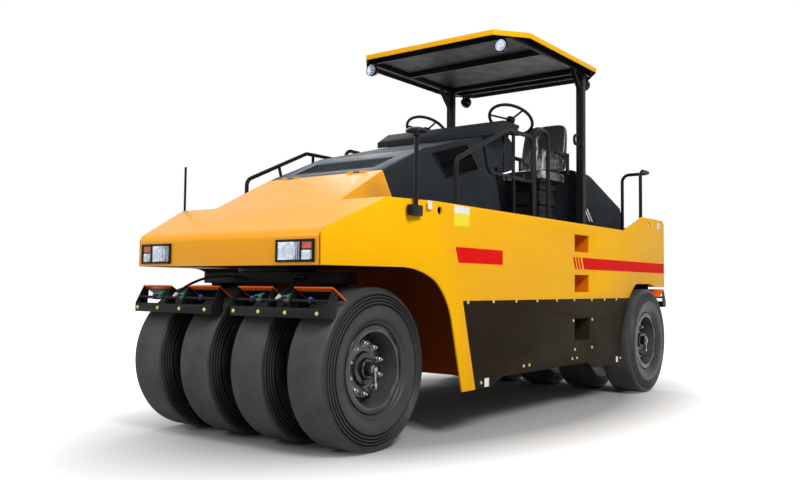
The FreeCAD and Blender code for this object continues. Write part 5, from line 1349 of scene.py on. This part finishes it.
# Lamps and mirror
@dataclass
class Headlamps:
    """Square lamp clusters: a large clear lamp inboard, amber over clear outboard."""

    inner: float = 0.508
    outer: float = 0.826
    low: float = 1.182
    high: float = 1.320
    front: float = station(-0.527)
    depth: float = 0.0135
    rim: float = 0.016
    split: Pair = (0.709, 0.723)
    middle: Pair = (1.253, 1.263)
    louvres: int = 5

    def windows(self) -> list[tuple[Pair, Pair, int]]:
        """The three lenses as their run across, their run up, and 1 where they are amber.

        Returns:
            One row for each lens.
        """
        wide, narrow = (self.inner + self.rim, self.split[0]), (self.split[1], self.outer - self.rim)
        return [(wide, (self.low + self.rim, self.high - self.rim), 0),
                (narrow, (self.middle[1], self.high - self.rim), 1),
                (narrow, (self.low + self.rim, self.middle[0]), 0)]

    def add(self, side: float, black: Form, bright: Form, clear: Form) -> None:
        """Adds one cluster.

        Args:
            side: +1 for the left lamp.
            black: the housing's working mesh.
            bright: the reflectors' working mesh, with amber as finish 1.
            clear: the lenses' working mesh.
        """
        front, rim = self.front, self.rim
        wide, tall = (self.inner, self.outer), (self.low, self.high)
        add_run(black, side, wide, (front + 0.010, front + self.depth), tall, 0.002)
        for x, z in ((wide, (self.high - rim, self.high)), (wide, (self.low, self.low + rim)),
                     ((self.inner, self.inner + rim), tall), ((self.outer - rim, self.outer), tall),
                     (self.split, tall)):
            add_run(black, side, x, (front, front + 0.011), z, 0.003)
        for (x0, x1), (z0, z1), amber in self.windows():
            add_run(bright, side, (x0, x1), (front + 0.0085, front + 0.0098), (z0, z1), 0, amber)
            if amber:
                for step in range(self.louvres):
                    z = z0 + (z1 - z0) * (step + 0.5) / self.louvres
                    add_run(bright, side, (x0 + 0.002, x1 - 0.002), (front + 0.0055, front + 0.009),
                            (z - 0.0035, z + 0.0035), 0.001, 1)
                continue
            add_run(clear, side, (x0 - 0.001, x1 + 0.001), (front + 0.002, front + 0.0045),
                    (z0 - 0.001, z1 + 0.001), 0.0008)
            turn = turned((side * (x0 + x1) / 2, front + 0.0084, (z0 + z1) / 2), 90, "Z")
            reach = min(x1 - x0, z1 - z0) / 2 - 0.002
            add_lathe(bright, [(0.0, reach), (-0.0008, reach - 0.002), (-0.0004, reach * 0.5),
                               (0.0, 0.004)], turn, 40)
            add_lathe(bright, [(0.0, 0.011), (-0.0035, 0.009), (-0.0045, 0.0)], turn, 24)

    def build(self) -> None:
        """Builds both clusters."""
        black, bright, clear = bmesh.new(), bmesh.new(), bmesh.new()
        for side in Side:
            self.add(side.value, black, bright, clear)
        piece("headlamp_housings", black, [HOUSING], replaces=("headlamps",))
        piece("headlamp_reflectors", bright, [REFLECTOR, AMBER_LENS])
        piece("headlamp_lenses", clear, [LENS])


@dataclass
class WorkLamps:
    """Four round work lamps: bright bowls behind domed glass, in the CAD housings' recesses."""

    across: float = 0.70
    height: float = 3.080
    radius: float = 0.0505
    front: float = -0.2290
    rear: float = 1.4612

    def build(self) -> None:
        """Builds the bowls, bulbs and glasses."""
        bowls, glass = bmesh.new(), bmesh.new()
        for side in Side:
            for y, degrees in ((self.front, -90), (self.rear, 90)):
                turn = turned((side.value * self.across, y, self.height), degrees, "Z")
                add_lathe(bowls, [(0.0002, 0), (0.0002, 0.008), (0.0010, 0.020), (0.0024, 0.036),
                                  (0.0040, self.radius), (0.0001, self.radius), (0.0, 0)], turn, 40)
                add_lathe(bowls, [(0.0004, 0.010), (0.0038, 0.008), (0.0046, 0)], turn, 20)
                add_lathe(glass, [(0.0048, 0), (0.0048, self.radius), (0.0058, self.radius),
                                  (0.0066, self.radius * 0.6), (0.0069, 0)], turn, 40)
        piece("work_lamp_bowls", bowls, [LAMP_BOWL])
        piece("work_lamp_glass", glass, [LENS])


@dataclass
class Mirror:
    """A round convex mirror on a post, in a bolted bracket on the left side plate."""

    x: float = 1.0724
    y: float = station(0.160)
    foot: float = 2.006
    radius: float = 0.0720
    post: float = 0.0145
    bracket: Pair = (1.4945, 1.5640)

    def build(self) -> None:
        """Builds the bracket, post, head and glass."""
        black, bright = bmesh.new(), bmesh.new()
        inner, radius = self.x - 0.0298, self.radius
        add_block(black, (inner, self.y - 0.0595, self.bracket[0]),
                  (inner + 0.0455, self.y + 0.0595, self.bracket[1]), 0.006)
        add_bar(black, (self.x, self.y, self.bracket[0]), (self.x, self.y, self.foot), self.post, 24)
        turn = turned((self.x, self.y, self.foot), -90, "Y")
        add_lathe(black, [(0.0, 0.0), (0.002, 0.022), (0.018, 0.028), (0.026, radius * 0.96),
                          (0.030, radius), (0.037, radius * 0.985), (0.046, radius * 0.85),
                          (0.053, radius * 0.62), (0.058, radius * 0.33), (0.0595, 0.0)], turn, 56)
        add_lathe(bright, [(0.0175, 0.030), (0.0200, radius * 0.6), (0.0255, radius * 0.93),
                           (0.0262, radius * 0.93), (0.0182, 0.030)], turn, 56, closed=True)
        piece("mirror_head", black, [HOUSING], replaces=("mirror_post",))
        piece("mirror_glass", bright, [REFLECTOR])


@dataclass
class Console:
    """Gauges and rocker switches on the console's operator side."""

    middle: float = 2.507
    face: float = station(2.330)
    dials: tuple[float, ...] = (-0.165, -0.095, -0.025)
    ticks: int = 9
    tick_ring: float = 0.0135
    switches: int = 6
    first_switch: float = 0.045
    switch_pitch: float = 0.030

    def build(self) -> None:
        """Builds the instruments on the panel's rear face."""
        black, bright = bmesh.new(), bmesh.new()
        face, middle = self.face, self.middle
        for x in self.dials:
            turn = turned((x, face, middle), 90, "Z")
            add_lathe(black, [(-0.001, 0), (-0.001, 0.0205), (0.003, 0.0205), (0.0035, 0.018),
                              (0.0012, 0.0172), (0.0012, 0)], turn, 32)
            add_lathe(bright, [(0.0010, 0), (0.0010, 0.0168), (0.0016, 0.0168), (0.0016, 0)],
                      turn, 32)
            for tick in range(self.ticks):
                angle = math.radians(225 - tick * 33.75)
                spot = Vector((x + self.tick_ring * math.cos(angle), face + 0.0016,
                               middle + self.tick_ring * math.sin(angle)))
                add_block(black, spot - Vector((0.0006, 0.0002, 0.0006)),
                          spot + Vector((0.0006, 0.0005, 0.0006)))
            hand = Vector((x, face + 0.0018, middle))
            add_bar(black, hand, hand + Vector((-0.007, 0, 0.009)), 0.0007, 6)
        for number in range(self.switches):
            x = self.first_switch + number * self.switch_pitch
            add_block(black, (x - 0.010, face - 0.001, middle - 0.015),
                      (x + 0.010, face + 0.0045, middle + 0.015), 0.002)
            add_block(black, (x - 0.0075, face + 0.003, middle - 0.002),
                      (x + 0.0075, face + 0.008, middle + 0.012), 0.0015)
        piece("gauge_bodies", black, [GRIP])
        piece("gauge_faces", bright, [PLATE_WHITE])


@dataclass
class Seats:
    """Two padded operator seats on ribbed pedestals, in wrapped vinyl with sewn channels."""

    across: float = 0.43
    half: float = 0.235
    front: float = station(2.76)
    depth: float = 0.47
    deck: float = 1.6045
    top: float = 2.15
    thick: float = 0.12
    back_top: float = 2.64
    back_thick: float = 0.11
    lean: float = 0.07
    taper: float = 0.08
    thin: float = 0.35
    arm: float = 0.042
    arm_length: float = 0.30
    arm_top: float = 2.34
    ribs: int = 6
    fill: float = 0.7
    square: float = 9.0
    crown: float = 0.144
    waist: float = 0.018
    seam: Pair = (0.07, 0.10)

    def pillow(self, low: Point, high: Point, face: int, channels: int) -> Form:
        """Makes a crowned cushion between two corners.

        Args:
            low: the lowest corner of its box.
            high: the highest corner.
            face: the axis that its sat-on face looks along.
            channels: sewn lines across that face.

        Returns:
            A working mesh.
        """
        form = bmesh.new()
        bmesh.ops.create_cube(form, size=2.0)
        bmesh.ops.subdivide_edges(form, edges=form.edges, cuts=15, use_grid_fill=True)
        centre = (Vector(low) + Vector(high)) / 2
        span = (Vector(high) - Vector(low)) / 2
        first, second = (axis for axis in range(3) if axis != face)
        depth, width = self.seam
        for vert in form.verts:
            unit = vert.co.copy()
            shape = Vector(unit)
            length = sum(abs(c) ** self.square for c in unit) ** (1 / self.square)
            if length > 1e-6:
                shape *= max(abs(c) for c in unit) / length
            u, v = unit[first], unit[second]
            shape[face] *= 1 - self.crown * (u * u + v * v)
            shape[first] *= 1 - self.waist * v ** 4
            shape[second] *= 1 - self.waist * u ** 4
            line = (v + 1) / 2 * (channels + 1)
            near = abs(line - round(line))
            if abs(unit[face]) > 0.55 and 0 < round(line) < channels + 1 and abs(u) < 0.93:
                shape[face] *= 1 - depth * math.exp(-(near / width) ** 2)
            vert.co = centre + Vector([shape[i] * span[i] for i in range(3)])
        return form

    def pad(self, name: str, form: Form, replaces: Sequence[str] = ()) -> None:
        """Adds a cushion as a padded piece, rounded by one live subdivision.

        Args:
            name: the piece's name.
            form: its working mesh.
            replaces: the nodes it stands for.
        """
        made = piece(name, form, [WRAP], angle=60, replaces=replaces)
        modifier = made.modifiers.new("rounding", "SUBSURF")
        modifier.levels = modifier.render_levels = 1

    def build(self) -> None:
        """Builds cushions, leaning backs, arm rests and ribbed pedestals."""
        hard = bmesh.new()
        rear = self.front + self.depth
        head = self.top - self.thick + 0.006
        for side in Side:
            x = side.value * self.across
            label = side.name.lower()
            cushion = self.pillow((x - self.half, self.front, self.top - self.thick),
                                  (x + self.half, rear, self.top), 2, 3)
            self.pad("seat_cushion_" + label, cushion,
                     ("operator_seats",) if side is Side.LEFT else ())
            back = self.pillow((x - self.half, rear - self.back_thick, self.top - 0.01),
                               (x + self.half, rear, self.back_top), 1, 4)
            for vert in back.verts:
                rise = (vert.co.z - self.top) / (self.back_top - self.top)
                lift = max(rise, 0.0)
                vert.co.x = x + (vert.co.x - x) * (1 - self.taper * lift ** 2)
                vert.co.y = rear + (vert.co.y - rear) * (1 - self.thin * lift) + self.lean * rise
            self.pad("seat_back_" + label, back)
            for edge in (x - self.half - self.arm, x + self.half):
                add_block(hard, (edge + 0.004, rear - self.arm_length, self.arm_top - 0.038),
                          (edge + self.arm - 0.004, rear - 0.012, self.arm_top), 0.012)
                add_block(hard, (edge + 0.010, rear - 0.052, self.top - 0.020),
                          (edge + self.arm - 0.010, rear - 0.006, self.arm_top - 0.010), 0.006)
            for rib in range(self.ribs):
                low, high = (self.deck + (head - self.deck) * step / self.ribs
                             for step in (rib, rib + 1))
                pull = 0.0 if rib % 2 else 0.012
                add_block(hard, (x - 0.15 + pull, self.front + 0.085 + pull, low - 0.004),
                          (x + 0.15 - pull, rear - 0.065 - pull, high + 0.004), 0.014)
        piece("seat_frames", hard, [GRIP])


@dataclass
class SmallFittings:
    """Steering wheels, lamp housings and tail lamps."""

    def build(self) -> None:
        """Dresses the fittings that keep their node's form."""
        for side in ("left", "right"):
            softened("handwheel_" + side, [GRIP], "steering_wheel_" + side, angle=50)
        softened("work_lamps", [HOUSING], round_off=0.001, angle=50)
        softened("tail_lamps", [RED_LENS], round_off=0.002)


# Studio
@dataclass
class Studio:
    """A pale floor with a painted shadow round the machine, soft lamps and the camera."""

    eye: Point = (4.1178, -6.1856, 1.0496)
    yaw: float = 0.6426
    pitch: float = 0.0552
    roll: float = 0.0098
    lens: float = 36.89181
    sensor: float = 36.0
    floor: float = 40.0
    grey: float = 0.5
    # distances over which the painted shadow round the machine fades into the white floor
    shade: Pair = (1.3, 2.3)
    narrow: float = 0.5
    sky: float = 0.42

    def camera(self) -> None:
        """Places the camera at the viewing angle."""
        sin_y, cos_y = math.sin(self.yaw), math.cos(self.yaw)
        sin_p, cos_p = math.sin(self.pitch), math.cos(self.pitch)
        forward = Vector((-sin_y * cos_p, cos_y * cos_p, sin_p))
        right = Vector((cos_y, sin_y, 0.0))
        up = right.cross(forward)
        across = math.cos(self.roll) * right + math.sin(self.roll) * up
        upright = -math.sin(self.roll) * right + math.cos(self.roll) * up
        data = bpy.data.cameras.new("view")
        data.sensor_width = self.sensor
        data.lens = self.lens
        data.clip_end = 200
        made = enter("view", data)
        turn = Matrix((across, upright, -forward)).transposed().to_4x4()
        made.matrix_world = Matrix.Translation(self.eye) @ turn
        bpy.context.scene.camera = made

    def lamp(self, name: str, place: Point, target: Point, size: float, power: float) -> None:
        """Adds an area lamp.

        Args:
            name: its name.
            place: where it hangs.
            target: the point it shines at.
            size: its diameter.
            power: its power in watts.
        """
        data = bpy.data.lights.new(name, "AREA")
        data.shape = "DISK"
        data.size = size
        data.energy = power
        aim = (Vector(target) - Vector(place)).to_track_quat("-Z", "Y").to_matrix().to_4x4()
        enter(name, data).matrix_world = Matrix.Translation(place) @ aim

    def pale(self) -> bpy.types.Material:
        """Makes a floor with a painted shadow round the machine, which reads as white farther off.

        Returns:
            The material.
        """
        graph = Graph("pale_floor")
        diffuse = graph.node("BsdfDiffuse", {"Color": (self.grey, self.grey, self.grey, 1)})
        shrunk = graph.node("Mapping", {"Vector": graph.place, "Scale": (1.0, self.narrow, 1.0)})
        apart = graph.node("VectorMath", {0: shrunk.outputs[0]}, operation="LENGTH")
        # partly real, partly painted shadow: the grey floor takes the lamps' real shadow, and the
        # white glow seen by the camera and reflections fades out towards the machine, painting a
        # darker pool round it
        level = graph.ramp(apart.outputs["Value"], *self.shade)
        glow = graph.node("Emission", {"Strength": graph.work("MULTIPLY", graph.seen(), level)})
        return graph.show(graph.node("AddShader", {0: diffuse.outputs[0], 1: glow.outputs[0]}))

    def build(self) -> None:
        """Makes the floor, the world, the lamps and the camera."""
        far = self.floor
        mesh = bpy.data.meshes.new("floor")
        mesh.from_pydata([(-far, -far, 0), (far, -far, 0), (far, far, 0), (-far, far, 0)], [],
                         [(0, 1, 2, 3)])
        mesh.materials.append(self.pale())
        floor = enter("floor", mesh)
        world = bpy.data.worlds.new("studio")
        world.use_nodes = True
        bpy.context.scene.world = world
        nodes = Nodes(world.node_tree)
        strength = nodes.ramp(nodes.seen(), 0.0, 1.0, self.sky, 1.0)
        back = nodes.node("Background", {"Color": (1, 1, 1, 1), "Strength": strength})
        nodes.node("OutputWorld", {"Surface": back.outputs[0]})
        self.lamp("key", (9.0, -5.5, 8.5), (0, 0, 1.2), 4.0, 1000)
        self.lamp("front", (-4.5, -9.5, 6.0), (0, -1, 1.2), 5.0, 260)
        self.lamp("back", (-6.0, 7.5, 7.0), (0, 0, 1.5), 5.0, 320)
        self.camera()
        bpy.context.scene.view_settings.view_transform = "Standard"


def main() -> None:
    """Builds every sub-assembly in order."""
    logging.basicConfig(level=logging.INFO, format="%(message)s")
    for part in (Studio, RunningGear, Bodywork, Markings, PlateHardware, CowlScreens, Footwell,
                 RearFittings, ScraperFacings, PanelGaps, Sprinklers, Headlamps, WorkLamps, Mirror,
                 Console, Seats, SmallFittings):
        LOG.info("building %s", part.__name__)
        part().build()


if __name__ == "__main__":
    main()
